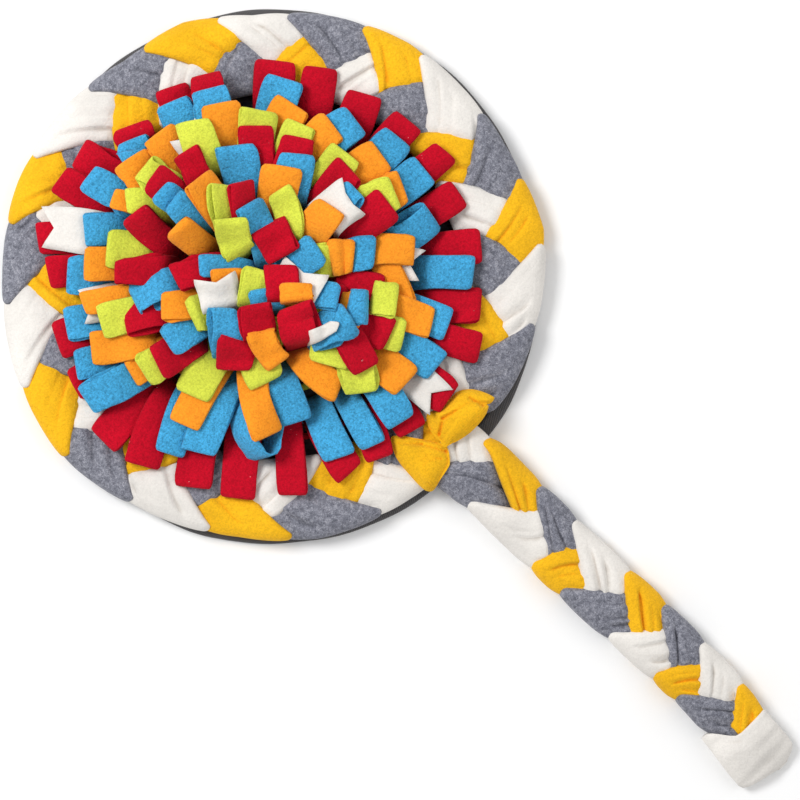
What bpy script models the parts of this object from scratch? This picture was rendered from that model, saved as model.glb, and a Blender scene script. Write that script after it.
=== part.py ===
"""Snuffle mat: a round fleece pile on a dark cloth disc, inside a plaited rim, with a plaited handle.

Metres, +Z up. The origin is the middle of the disc on its underside, and the handle runs along -Y.
Sizes are given in millimetres and turned into metres when a mesh is made.
"""

import math

import bmesh
import bpy
from mathutils import Vector

MM = 0.001
CLEARANCE = 0.3          # between neighbouring pieces

# Base disc and its webbing
DISC_R = 199.1           # cut edge of the disc, inside the webbing
DISC_T = 2.5
WEBBING_R = 200.5
WEBBING_W = 11.0         # how far each side of the webbing reaches in over the disc
WEBBING_T = 1.0
ROUND_SIDES = 32

# Plaited rim: three flat strands
RIM_R = 172.0            # middle line of the plait
RIM_Z = 11.8             # half way up the plait
RIM_LOBE_DEG = 360.0 / 21.0
RIM_FIRST_DEG = -80.56   # where the yellow strand starts inward over the others, under the knot
RIM_FROM_DEG = 20.5      # clockwise from there: where the plait starts
RIM_TO_DEG = 350.0       # and where it ends
RIM_STEPS = 9            # sections in one period of three lobes

# Plaited handle: three strands, lying on the floor
HANDLE_FROM = 187.0      # along -Y
HANDLE_TO = 495.0
HANDLE_PERIOD = 125.0
HANDLE_FIRST = 229.8     # where the yellow strand starts inward from the +X edge
HANDLE_STEPS = 9
START_PHASE_DEG = 120.0  # of a strand's swing, where it starts inward over the others
HANDLE_LINE = [          # along, sideways, up: the middle line of the handle
    {"along": 187.0, "x": 5.0, "z": 16.6},
    {"along": 208.0, "x": 5.0, "z": 16.2},
    {"along": 240.0, "x": 5.0, "z": 11.4},
    {"along": 330.0, "x": 6.5, "z": 11.2},
    {"along": 400.0, "x": 9.0, "z": 11.2},
    {"along": 450.0, "x": 7.0, "z": 11.2},
    {"along": 530.0, "x": 6.0, "z": 11.2},
]
HANDLE_DRAW_IN = [       # how far the strands are drawn together
    {"along": 187.0, "wide": 0.92, "high": 0.90},
    {"along": 230.0, "wide": 1.00, "high": 1.00},
    {"along": 470.0, "wide": 1.00, "high": 1.00},
    {"along": 482.0, "wide": 0.76, "high": 0.70},
    {"along": 502.0, "wide": 0.72, "high": 0.62},
]

# The section of a strand over one period: how far it swings sideways and up,
# its half width and half thickness with what they gain and lose on the way, and its tilt
SECTION = {
    "rim": {"swing": 20.83, "rise": 5.354, "half_w": 12.803, "half_w_gain": 5.113,
            "half_t": 2.438, "half_t_gain": -0.474, "tilt": 0.153},
    "handle": {"swing": 16.2, "rise": 6.732, "half_w": 9.9, "half_w_gain": -0.223,
               "half_t": 3.797, "half_t_gain": 0.714, "tilt": 0.227},
}
STRAND_SIDES = 6
STRANDS = [              # turn: which lobe in each three is this strand's, on the rim and on the handle
    {"name": "yellow", "rim_turn": 0, "handle_turn": 0, "color": (0.90, 0.52, 0.03)},
    {"name": "white", "rim_turn": 1, "handle_turn": 2, "color": (0.86, 0.83, 0.79)},
    {"name": "grey", "rim_turn": 2, "handle_turn": 1, "color": (0.24, 0.25, 0.29)},
]

# Sleeve at the end of the handle: sections from its mouth to its closed end
CUFF_WALL = 2.2
CUFF_SIDES = 10
CUFF = [
    {"along": 488.0, "half_w": 25.6, "half_t": 10.9, "up": 11.2},
    {"along": 500.0, "half_w": 25.0, "half_t": 10.2, "up": 11.0},
    {"along": 513.0, "half_w": 23.8, "half_t": 6.6, "up": 7.8},
    {"along": 524.0, "half_w": 22.4, "half_t": 4.2, "up": 5.2},
    {"along": 530.0, "half_w": 20.0, "half_t": 3.0, "up": 4.2},
]
CUFF_INSIDE = 4          # of these sections, how many the hollow runs through

# The two folded yellow ends over the place where the handle joins the rim
KNOTS = [
    {"name": "knot_upper", "x": 20.0, "y": -165.5, "turn": -14.0, "long": 32.0, "wide": 15.0,
     "low": 4.2, "high": 22.0},
    {"name": "knot_lower", "x": -24.5, "y": -169.0, "turn": 94.0, "long": 17.5, "wide": 11.0,
     "low": 4.2, "high": 20.5},
]

# Loop fringes: each ring is one strip folded in two and cut into loops
PILE_X, PILE_Y = -6.0, -1.0
LOOP_W = 25.0
CLOTH_T = 2.0            # fleece
LAYER_GAP = 1.4          # between the two layers of a loop that lies closed
BAND_LOW = DISC_T + CLEARANCE
BAND_H = 2.2
RINGS = [                # base, knee and tip: distance from the middle of the pile; 0 for a loop with no knee
    {"color": "red", "base": 118.0, "knee": 134.0, "knee_up": 23.0, "tip": 160.0, "top": 33.5, "loops": 22, "turn": 0.0},
    {"color": "blue", "base": 106.0, "knee": 123.0, "knee_up": 28.5, "tip": 142.0, "top": 42.5, "loops": 20, "turn": 0.0},
    {"color": "orange", "base": 94.0, "knee": 0.0, "knee_up": 0.0, "tip": 124.0, "top": 48.5, "loops": 18, "turn": 5.0},
    {"color": "lime", "base": 82.0, "knee": 0.0, "knee_up": 0.0, "tip": 109.0, "top": 53.0, "loops": 16, "turn": 0.0},
    {"color": "red", "base": 70.0, "knee": 0.0, "knee_up": 0.0, "tip": 94.0, "top": 57.0, "loops": 14, "turn": 9.0},
    {"color": "blue", "base": 58.0, "knee": 0.0, "knee_up": 0.0, "tip": 78.0, "top": 60.0, "loops": 12, "turn": 0.0},
    {"color": "orange", "base": 46.0, "knee": 0.0, "knee_up": 0.0, "tip": 62.0, "top": 62.5, "loops": 9, "turn": 0.0},
    {"color": "lime", "base": 34.0, "knee": 0.0, "knee_up": 0.0, "tip": 46.0, "top": 64.0, "loops": 7, "turn": 20.0},
    {"color": "red", "base": 22.0, "knee": 0.0, "knee_up": 0.0, "tip": 30.0, "top": 65.5, "loops": 4, "turn": 10.0},
    {"color": "blue", "base": 8.0, "knee": 0.0, "knee_up": 0.0, "tip": 12.0, "top": 66.0, "loops": 2, "turn": 30.0},
]
COLORS = {
    "red": (0.50, 0.01, 0.03),
    "blue": (0.06, 0.38, 0.66),
    "orange": (0.93, 0.32, 0.03),
    "lime": (0.60, 0.72, 0.05),
}

# Loops that stand open, one at each quarter of these rings
OPEN_RINGS = (2, 4, 6)
OPEN_EYE = 10.0          # clear width of an open loop
OPEN_NECK = 0.35         # part of its height where it has opened out

# White strips with a cut, crown-like end, each in the place of one loop
TAB_T = 2.0
TABS = [                 # ring and loop that it stands in for, how far out its points reach, its width
    {"ring": 1, "near_deg": 123.0, "tip": 170.0, "width": 30.0, "points": 3},
    {"ring": 1, "near_deg": -82.0, "tip": 153.0, "width": 26.0, "points": 3},
    {"ring": 2, "near_deg": 149.0, "tip": 144.0, "width": 22.0, "points": 2},
    {"ring": 3, "near_deg": 79.0, "tip": 122.0, "width": 26.0, "points": 3},
    {"ring": 3, "near_deg": -41.0, "tip": 120.0, "width": 24.0, "points": 2},
    {"ring": 5, "near_deg": 5.0, "tip": 93.0, "width": 26.0, "points": 3},
    {"ring": 7, "near_deg": 148.0, "tip": 62.0, "width": 26.0, "points": 3},
    {"ring": 7, "near_deg": -105.0, "tip": 61.0, "width": 24.0, "points": 2},
    {"ring": 9, "near_deg": -36.0, "tip": 30.2, "width": 22.0, "points": 2},
]
CROWN = 11.0             # depth of the cuts


def clear_scene():
    for obj in list(bpy.data.objects):
        bpy.data.objects.remove(obj, do_unlink=True)


def cloth(name, color, roughness):
    material = bpy.data.materials.new(name)
    material.use_nodes = True
    shader = material.node_tree.nodes["Principled BSDF"]
    shader.inputs["Base Color"].default_value = (*color, 1.0)
    shader.inputs["Roughness"].default_value = roughness
    shader.inputs["Metallic"].default_value = 0.0
    material.diffuse_color = (*color, 1.0)
    return material


def add_object(name, points, faces, material):
    """An object from points in millimetres and faces, with its normals turned outward."""
    mesh = bpy.data.meshes.new(name)
    work = bmesh.new()
    corners = [work.verts.new(Vector(point) * MM) for point in points]
    for face in faces:
        work.faces.new([corners[i] for i in face])
    bmesh.ops.recalc_face_normals(work, faces=work.faces)
    work.to_mesh(mesh)
    work.free()
    mesh.materials.append(material)
    obj = bpy.data.objects.new(name, mesh)
    bpy.context.scene.collection.objects.link(obj)
    return obj


def table_value(rows, along, column):
    """The value of a column at a place along, between the rows on both sides of it."""
    if along <= rows[0]["along"]:
        return rows[0][column]
    for before, after in zip(rows, rows[1:]):
        if along <= after["along"]:
            part = (along - before["along"]) / (after["along"] - before["along"])
            return before[column] + part * (after[column] - before[column])
    return rows[-1][column]


def loft(sections):
    """Points and faces of a closed tube through rings of equally many points, with flat ends."""
    sides = len(sections[0])
    points = [point for section in sections for point in section]
    faces = []
    for row in range(len(sections) - 1):
        for side in range(sides):
            a = row * sides + side
            b = row * sides + (side + 1) % sides
            faces.append((a, b, b + sides))
            faces.append((a, b + sides, a + sides))
    faces.append(tuple(range(sides)))
    faces.append(tuple(range(len(points) - sides, len(points))))
    return points, faces


def turned(profile, sides):
    """A closed ring with a straight-sided profile of (radius, height)."""
    count = len(profile)
    points = []
    for side in range(sides):
        angle = 2 * math.pi * side / sides
        points += [(r * math.cos(angle), r * math.sin(angle), z) for r, z in profile]
    faces = []
    for side in range(sides):
        here, after = side * count, (side + 1) % sides * count
        for i in range(count):
            j = (i + 1) % count
            faces.append((here + i, here + j, after + j, after + i))
    return points, faces


def make_disc(material):
    """One sheet whose edge is pressed thinner where the webbing goes round it."""
    step_r = WEBBING_R - WEBBING_W - CLEARANCE
    rim = [(step_r, 0.0), (step_r, WEBBING_T + CLEARANCE), (DISC_R, WEBBING_T + CLEARANCE), (DISC_R, DISC_T)]
    sections = []
    for r, z in rim:
        sections.append([(r * math.cos(2 * math.pi * i / ROUND_SIDES), r * math.sin(2 * math.pi * i / ROUND_SIDES), z)
                         for i in range(ROUND_SIDES)])
    points, faces = loft(sections)
    return add_object("backing_disc", points, faces, material)


def make_webbing(material):
    inner = WEBBING_R - WEBBING_W
    wall = DISC_R + CLEARANCE
    over = DISC_T + CLEARANCE
    profile = [(inner, 0.0), (WEBBING_R, 0.0), (WEBBING_R, over + WEBBING_T), (inner, over + WEBBING_T),
               (inner, over), (wall, over), (wall, WEBBING_T), (inner, WEBBING_T)]
    points, faces = turned(profile, ROUND_SIDES)
    return add_object("rim_binding", points, faces, material)


def strand_section(phase, size):
    """Corners (sideways, up) of a strand where it is this far through its over-and-under."""
    u = size["swing"] * math.sin(phase)
    h = -size["rise"] * math.sin(2 * phase)
    half_w = size["half_w"] + size["half_w_gain"] * math.cos(2 * phase)
    half_t = size["half_t"] - size["half_t_gain"] * math.cos(2 * phase)
    tilt = size["tilt"] * math.cos(3 * phase)
    corners = []
    for side in range(STRAND_SIDES):
        angle = 2 * math.pi * side / STRAND_SIDES
        x = half_w * math.cos(angle)
        z = half_t * math.sin(angle) / math.sin(math.pi / 3)
        corners.append((u + x * math.cos(tilt) + z * math.sin(tilt), h - x * math.sin(tilt) + z * math.cos(tilt)))
    return corners


def make_rim_strand(row, material):
    """Goes clockwise, seen from above, from one side of the handle to the other."""
    period = 3 * RIM_LOBE_DEG
    first = math.ceil(RIM_FROM_DEG / period * RIM_STEPS)
    last = math.floor(RIM_TO_DEG / period * RIM_STEPS)
    sections = []
    for step in range(first, last + 1):
        around = step / RIM_STEPS
        phase = math.radians(START_PHASE_DEG - 120.0 * row["rim_turn"]) + 2 * math.pi * around
        angle = math.radians(RIM_FIRST_DEG - around * period)
        sections.append([((RIM_R + u) * math.cos(angle), (RIM_R + u) * math.sin(angle), RIM_Z + h)
                         for u, h in strand_section(phase, SECTION["rim"])])
    points, faces = loft(sections)
    return add_object("rim_strand_" + row["name"], points, faces, material)


def make_handle_strand(row, material):
    first = math.ceil((HANDLE_FROM - HANDLE_FIRST) / HANDLE_PERIOD * HANDLE_STEPS)
    last = math.floor((HANDLE_TO - HANDLE_FIRST) / HANDLE_PERIOD * HANDLE_STEPS)
    sections = []
    for step in range(first, last + 1):
        along = HANDLE_FIRST + HANDLE_PERIOD * step / HANDLE_STEPS
        phase = math.radians(START_PHASE_DEG - 120.0 * row["handle_turn"]) + 2 * math.pi * step / HANDLE_STEPS
        x = table_value(HANDLE_LINE, along, "x")
        z = table_value(HANDLE_LINE, along, "z")
        wide = table_value(HANDLE_DRAW_IN, along, "wide")
        high = table_value(HANDLE_DRAW_IN, along, "high")
        sections.append([(x + wide * u, -along, z + high * h) for u, h in strand_section(phase, SECTION["handle"])])
    points, faces = loft(sections)
    return add_object("handle_strand_" + row["name"], points, faces, material)


def oval(half_w, half_t, sides):
    """A flattened oval, fuller at its corners than an ellipse."""
    corners = []
    for side in range(sides):
        angle = 2 * math.pi * (side + 0.5) / sides
        c, s = math.cos(angle), math.sin(angle)
        corners.append((half_w * math.copysign(abs(c) ** 0.8, c), half_t * math.copysign(abs(s) ** 0.8, s)))
    return corners


def make_cuff(material):
    outer, inner = [], []
    for i, row in enumerate(CUFF):
        x = table_value(HANDLE_LINE, row["along"], "x")
        outer.append([(x + u, -row["along"], row["up"] + h) for u, h in oval(row["half_w"], row["half_t"], CUFF_SIDES)])
        if i < CUFF_INSIDE:
            inner.append([(x + u, -row["along"], row["up"] + h)
                          for u, h in oval(row["half_w"] - CUFF_WALL, row["half_t"] - CUFF_WALL, CUFF_SIDES)])
    sections = inner[::-1] + outer
    points, faces = loft(sections)
    return add_object("handle_cuff", points, faces, material)


def make_knot(row, material):
    """A puffed fold of fleece: flat below, crowned above, with one crease along it."""
    turn = math.radians(row["turn"])
    sections = []
    for i in range(7):
        place = -0.96 + 1.92 * i / 6
        swell = math.sqrt(max(0.0, 1 - place ** 4)) * (0.92 if i % 2 else 1.0)
        height = row["low"] + (row["high"] - row["low"]) * (0.30 + 0.70 * swell)
        section = []
        for across, up in ((-1.0, 0.35), (-0.7, 0.0), (0.7, 0.0), (1.0, 0.35), (0.72, 0.88), (0.15, 1.0), (-0.1, 0.86), (-0.6, 0.95)):
            u = place * row["long"]
            v = across * row["wide"] * (0.35 + 0.65 * swell)
            z = row["low"] + (height - row["low"]) * up
            section.append((row["x"] + u * math.cos(turn) - v * math.sin(turn),
                            row["y"] + u * math.sin(turn) + v * math.cos(turn), z))
        sections.append(section)
    points, faces = loft(sections)
    return add_object(row["name"], points, faces, material)


def loop_angle(ring, index):
    return math.radians(ring["turn"]) + 2 * math.pi * index / ring["loops"]


def nearest_loop(ring, degrees):
    pitch = 360.0 / ring["loops"]
    return round((degrees - ring["turn"]) / pitch) % ring["loops"]


def in_ring(rho, side, z, angle):
    """A point from its distance out, its distance to the side and its height, for the loop at this angle."""
    return (PILE_X + rho * math.cos(angle) - side * math.sin(angle),
            PILE_Y + rho * math.sin(angle) + side * math.cos(angle), z)


def loop_path(ring, start):
    """The loop's middle line (out, up), from where it leaves its band to its fold."""
    path = [(ring["base"], start)]
    if ring["knee"]:
        path.append((ring["knee"], ring["knee_up"]))
    path.append((ring["tip"], ring["top"]))
    return path


def beside(path, distances, shorten):
    """The path moved sideways by a distance at each point, its last point drawn back."""
    moved = []
    for i, (rho, z) in enumerate(path):
        before = path[max(i - 1, 0)]
        after = path[min(i + 1, len(path) - 1)]
        d_rho, d_z = after[0] - before[0], after[1] - before[1]
        length = math.hypot(d_rho, d_z)
        d_rho, d_z = d_rho / length, d_z / length
        back = shorten if i == len(path) - 1 else 0.0
        if i == 0:
            moved.append((rho + distances[i], z))
        else:
            moved.append((rho + d_z * distances[i] - d_rho * back, z - d_rho * distances[i] - d_z * back))
    return moved


def loop_outline(path, halves):
    """Outer and inner lines of a loop of cloth folded over at its tip, both from the outer leg to the inner leg."""
    outer = beside(path, halves, 0.0) + beside(path, [-h for h in halves], 0.0)[::-1]
    inside = [h - CLOTH_T for h in halves]
    inner = beside(path, inside, CLOTH_T) + beside(path, [-h for h in inside], CLOTH_T)[::-1]
    return outer, inner


def make_ring(number, ring, left_out, material):
    """A fringe: a band all the way round with its loops standing on it."""
    half = LAYER_GAP / 2 + CLOTH_T
    band_top = BAND_LOW + BAND_H
    path = loop_path(ring, band_top)
    outer, inner = loop_outline(path, [half] * len(path))
    base = ring["base"]
    # Corners of the band: bottom inner, bottom outer, then its top from the outer edge to the inner one.
    band = [(base - half, BAND_LOW), (base + half, BAND_LOW), outer[0], inner[0], inner[-1], outer[-1]]
    points, faces, stations = [], [], []
    for index in range(ring["loops"]):
        angle = loop_angle(ring, index)
        for side in (-LOOP_W / 2, LOOP_W / 2):
            start = len(points)
            points += [in_ring(rho, side, z, angle) for rho, z in band]
            legs = None
            if index not in left_out:
                rest = outer[1:-1] + inner[1:-1]
                extra = len(points)
                points += [in_ring(rho, side, z, angle) for rho, z in rest]
                count = len(outer) - 2
                over = [start + 2] + [extra + i for i in range(count)] + [start + 5]
                under = [start + 3] + [extra + count + i for i in range(count)] + [start + 4]
                legs = (over, under)
            stations.append((start, legs))
    for i, (start, legs) in enumerate(stations):
        after, after_legs = stations[(i + 1) % len(stations)]
        for a, b in ((0, 1), (1, 2), (5, 0), (3, 4)):
            faces.append((start + a, start + b, after + b, after + a))
        on_loop = i % 2 == 0 and legs is not None
        if not on_loop:
            faces.append((start + 2, start + 3, after + 3, after + 2))
            faces.append((start + 4, start + 5, after + 5, after + 4))
            continue
        for line, next_line in zip(legs, after_legs):
            for j in range(len(line) - 1):
                faces.append((line[j], line[j + 1], next_line[j + 1], next_line[j]))
        for over, under in (legs, after_legs):
            for j in range(len(over) - 1):
                faces.append((over[j], over[j + 1], under[j + 1], under[j]))
    return add_object("loop_ring_%02d_%s" % (number, ring["color"]), points, faces, material)


def make_open_loop(number, ring, index, material):
    """One loop that stands open, on the band of its ring: narrow where it is sewn down, wide above."""
    start = BAND_LOW + BAND_H + CLEARANCE
    path = loop_path(ring, start)
    if len(path) == 2:
        neck = tuple(a + OPEN_NECK * (b - a) for a, b in zip(*path))
        path.insert(1, neck)
    narrow = LAYER_GAP / 2 + CLOTH_T
    wide = OPEN_EYE / 2 + CLOTH_T
    halves = [narrow, wide, wide - 0.6]
    outer, inner = loop_outline(path, halves)
    floor = [(rho, z + CLOTH_T) for rho, z in (inner[0], inner[-1])]
    inner = [floor[0]] + inner[1:-1] + [floor[1]]
    angle = loop_angle(ring, index)
    count = len(outer)
    points = []
    for side in (-LOOP_W / 2, LOOP_W / 2):
        points += [in_ring(rho, side, z, angle) for rho, z in outer + inner]
    faces = []
    for line in (0, count):
        for j in range(count):
            a, b = line + j, line + (j + 1) % count
            faces.append((a, b, b + 2 * count, a + 2 * count))
    for side in (0, 2 * count):
        for j in range(count):
            a, b = side + j, side + (j + 1) % count
            faces.append((a, b, b + count, a + count))
    return add_object("open_loop_%02d" % number, points, faces, material)


def make_tab(number, row, material):
    """A flat strip that bends over where its ring's loops do, with points cut in its end."""
    ring = RINGS[row["ring"] - 1]
    index = nearest_loop(ring, row["near_deg"])
    angle = loop_angle(ring, index)
    path = loop_path(ring, BAND_LOW + BAND_H + CLEARANCE)
    before, last = path[-2], path[-1]
    slope = (last[1] - before[1]) / (last[0] - before[0])
    tip = (row["tip"], before[1] + slope * (row["tip"] - before[0]))
    length = math.hypot(tip[0] - before[0], tip[1] - before[1])
    cut = tuple(t - (t - b) * CROWN / length for t, b in zip(tip, before))
    half = row["width"] / 2
    base_half = min(half, LOOP_W / 2 - 1.0)
    # Rows of (place on the path, distance to the side), round the whole outline.
    right = [(path[0], base_half)] + [(place, half) for place in path[1:-1]]
    left = [(place, -side) for place, side in right[::-1]]
    crown = []
    for point in range(row["points"]):
        at = half - 2 * half * point / (row["points"] - 1)
        crown.append((tip, at))
        if point < row["points"] - 1:
            crown.append((cut, at - half / (row["points"] - 1)))
    outline = right + crown + left
    points = []
    for face_side in (TAB_T / 2, -TAB_T / 2):
        for (rho, z), side in outline:
            steep = z <= path[0][1]
            n_rho, n_z = (1.0, 0.0) if steep else (math.sin(math.atan(slope)), -math.cos(math.atan(slope)))
            points.append(in_ring(rho + n_rho * face_side, side, z + n_z * face_side, angle))
    count = len(outline)
    rows = len(right)
    # Each big face is cut into strips across the bend, then one fan of corners at the crown.
    strips = []
    for i in range(rows - 1):
        strips.append((i, i + 1, count - 2 - i, count - 1 - i))
    crown_first = rows - 1
    tips = list(range(rows, rows + len(crown)))
    cuts = tips[1::2]
    last_left = rows + len(crown)
    strips.append((crown_first, tips[0], cuts[0]))
    for i, corner in enumerate(cuts[:-1]):
        strips.append((corner, tips[2 * i + 2], cuts[i + 1]))
    strips.append((cuts[-1], tips[-1], last_left))
    strips.append((crown_first, *cuts, last_left))
    faces = [tuple(strip) for strip in strips] + [tuple(i + count for i in strip[::-1]) for strip in strips]
    for i in range(count):
        j = (i + 1) % count
        faces.append((i, j, j + count, i + count))
    return add_object("white_tab_%02d" % number, points, faces, material)


def main():
    clear_scene()
    make_disc(cloth("backing_cloth", (0.045, 0.047, 0.055), 0.9))
    make_webbing(cloth("webbing", (0.08, 0.08, 0.085), 0.85))
    for row in STRANDS:
        make_rim_strand(row, cloth("rim_fleece_" + row["name"], row["color"], 0.95))
        make_handle_strand(row, cloth("handle_fleece_" + row["name"], row["color"], 0.95))
    make_cuff(cloth("cuff_fleece_white", STRANDS[1]["color"], 0.95))
    for row in KNOTS:
        make_knot(row, cloth(row["name"] + "_fleece", STRANDS[0]["color"], 0.95))
    taken = {number: set() for number in range(1, len(RINGS) + 1)}
    open_loops = 0
    for number in OPEN_RINGS:
        ring = RINGS[number - 1]
        for quarter in range(4):
            index = quarter * ring["loops"] // 4
            taken[number].add(index)
            open_loops += 1
            make_open_loop(open_loops, ring, index, cloth("open_loop_fleece_%02d" % open_loops, COLORS[ring["color"]], 0.95))
    for number, row in enumerate(TABS, 1):
        taken[row["ring"]].add(nearest_loop(RINGS[row["ring"] - 1], row["near_deg"]))
        make_tab(number, row, cloth("tab_fleece_%02d" % number, STRANDS[1]["color"], 0.95))
    for number, ring in enumerate(RINGS, 1):
        make_ring(number, ring, taken[number], cloth("loop_fleece_%02d" % number, COLORS[ring["color"]], 0.95))


main()
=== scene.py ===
"""Snuffle mat: rings of folded fleece loops on a dark cloth disc, inside a plaited rim, with a plaited handle.

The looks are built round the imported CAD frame. Lengths are in millimetres until a mesh is made.
The middle of the disc is the origin, the handle runs along -Y, and +Z is up.
"""

import math

import bmesh
import bpy
import numpy as np
from mathutils import Matrix, Vector


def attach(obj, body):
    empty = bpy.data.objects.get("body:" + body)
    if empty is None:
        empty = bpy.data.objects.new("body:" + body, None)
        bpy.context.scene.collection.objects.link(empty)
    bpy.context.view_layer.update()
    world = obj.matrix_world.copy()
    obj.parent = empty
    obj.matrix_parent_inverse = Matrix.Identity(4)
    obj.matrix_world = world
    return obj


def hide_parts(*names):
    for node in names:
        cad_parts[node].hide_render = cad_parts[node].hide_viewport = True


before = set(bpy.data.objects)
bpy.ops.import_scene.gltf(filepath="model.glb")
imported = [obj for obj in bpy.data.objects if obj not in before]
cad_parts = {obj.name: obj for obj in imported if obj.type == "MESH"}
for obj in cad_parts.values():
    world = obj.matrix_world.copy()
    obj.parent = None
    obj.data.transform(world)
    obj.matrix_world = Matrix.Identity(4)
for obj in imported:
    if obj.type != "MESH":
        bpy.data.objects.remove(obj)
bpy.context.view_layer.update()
MM = 0.001

# ------------------------------------------------------------------ sizes
DISC_R, DISC_T = 199.1, 2.5
WEBBING_R, WEBBING_W = 200.5, 11.0
RIM_R, RIM_Z = 172.0, 11.8
PILE_X, PILE_Y = -6.0, -1.0
CLOTH_T = 2.0

# Each ring of loops: its colour and where it is sewn down
RINGS = {
    1: {"color": "red", "base": 118.0},
    2: {"color": "blue", "base": 106.0},
    3: {"color": "orange", "base": 94.0},
    4: {"color": "lime", "base": 82.0},
    5: {"color": "red", "base": 70.0},
    6: {"color": "blue", "base": 58.0},
    7: {"color": "orange", "base": 46.0},
    8: {"color": "lime", "base": 34.0},
    9: {"color": "red", "base": 22.0},
    10: {"color": "blue", "base": 8.0},
}
# Height of the pile's upper surface by the distance of a tip from its middle
DOME_OUT = [0.0, 12.0, 30.0, 46.0, 62.0, 78.0, 94.0, 109.0, 124.0, 142.0, 160.0, 175.0]
DOME_UP = [40.0, 40.0, 41.0, 42.0, 42.5, 42.0, 40.5, 38.0, 35.0, 31.0, 27.0, 25.0]


# ------------------------------------------------------------------ helpers
def smooth(t):
    t = np.clip(t, 0.0, 1.0)
    return t * t * (3 - 2 * t)


def unit(v):
    n = np.linalg.norm(v, axis=-1, keepdims=True)
    return v / np.where(n < 1e-9, 1.0, n)


def waves(seed, count, low, high):
    """A smooth noise made of a few sines: a function of (x, y) in millimetres, about -1 to 1."""
    rng = np.random.default_rng(seed)
    turn = rng.uniform(0, 2 * math.pi, count)
    size = rng.uniform(low, high, count)
    shift = rng.uniform(0, 2 * math.pi, count)
    kx, ky = 2 * math.pi / size * np.cos(turn), 2 * math.pi / size * np.sin(turn)

    def value(x, y):
        total = 0.0
        for a, b, c in zip(kx, ky, shift):
            total = total + np.sin(a * x + b * y + c)
        return total / math.sqrt(count)

    return value


def resample(grid, rows, cols):
    """The grid of points (R, C, n) at more rows and columns, by cubic interpolation along rows and columns."""
    return _stretch(_stretch(grid, rows).swapaxes(0, 1), cols).swapaxes(0, 1)


def _stretch(a, count):
    n = a.shape[0]
    t = np.linspace(0, n - 1, count)
    i = np.clip(t.astype(int), 0, n - 2)
    f = (t - i).reshape((-1,) + (1,) * (a.ndim - 1))
    p0, p1, p2, p3 = a[np.clip(i - 1, 0, n - 1)], a[i], a[i + 1], a[np.clip(i + 2, 0, n - 1)]
    m1, m2 = (p2 - p0) / 2, (p3 - p1) / 2
    return (2 * f**3 - 3 * f**2 + 1) * p1 + (f**3 - 2 * f**2 + f) * m1 + (-2 * f**3 + 3 * f**2) * p2 + (f**3 - f**2) * m2


class Shape:
    """Points and faces that are gathered into one mesh."""

    def __init__(self):
        self.points, self.faces, self.count = [], [], 0

    def tube(self, sections, ends=True, closed=False):
        """A tube through sections (rows, sides, 3)."""
        rows, sides, _ = sections.shape
        first = self.count
        self.points.append(sections.reshape(-1, 3))
        self.count += rows * sides
        last = rows if closed else rows - 1
        for i in range(last):
            a, b = first + i * sides, first + (i + 1) % rows * sides
            for j in range(sides):
                k = (j + 1) % sides
                self.faces.append((a + j, a + k, b + k, b + j))
        if ends and not closed:
            self.faces.append(tuple(first + j for j in range(sides))[::-1])
            self.faces.append(tuple(first + (rows - 1) * sides + j for j in range(sides)))

    def make(self, name, materials, smooth_shading=True):
        mesh = bpy.data.meshes.new(name)
        mesh.from_pydata([tuple(p) for p in np.concatenate(self.points) * MM], [], self.faces)
        work = bmesh.new()
        work.from_mesh(mesh)
        bmesh.ops.recalc_face_normals(work, faces=work.faces)
        work.to_mesh(mesh)
        work.free()
        for material in materials:
            mesh.materials.append(material)
        mesh.polygons.foreach_set("use_smooth", [smooth_shading] * len(mesh.polygons))
        mesh.update()
        obj = bpy.data.objects.new(name, mesh)
        bpy.context.scene.collection.objects.link(obj)
        return obj


class Ground:
    """How high the cloth already lies, on a grid seen from above."""

    CELL, HALF = 1.5, 216.0

    def __init__(self):
        n = int(2 * self.HALF / self.CELL) + 1
        self.up = np.zeros((n, n))

    def cells(self, x, y):
        n = self.up.shape[0] - 1
        return (np.clip(np.rint((x + self.HALF) / self.CELL).astype(int), 0, n),
                np.clip(np.rint((y + self.HALF) / self.CELL).astype(int), 0, n))

    def under(self, x, y):
        i, j = self.cells(x, y)
        n = self.up.shape[0] - 1
        best = self.up[i, j]
        for di in (-1, 0, 1):
            for dj in (-1, 0, 1):
                best = np.maximum(best, self.up[np.clip(i + di, 0, n), np.clip(j + dj, 0, n)])
        return best

    def cover(self, grid):
        """Lays a surface (rows, cols, 3) down."""
        a = np.linalg.norm(np.diff(grid, axis=0), axis=2).max() if grid.shape[0] > 1 else 1
        b = np.linalg.norm(np.diff(grid, axis=1), axis=2).max() if grid.shape[1] > 1 else 1
        rows = int(max(2, (grid.shape[0] - 1) * math.ceil(a / self.CELL) + 1))
        cols = int(max(2, (grid.shape[1] - 1) * math.ceil(b / self.CELL) + 1))
        dense = resample(grid, rows, cols).reshape(-1, 3)
        i, j = self.cells(dense[:, 0], dense[:, 1])
        np.maximum.at(self.up, (i, j), dense[:, 2])


GROUND = Ground()


# ------------------------------------------------------------------ materials
def color(value, alpha=1.0):
    return (*value, alpha)


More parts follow.
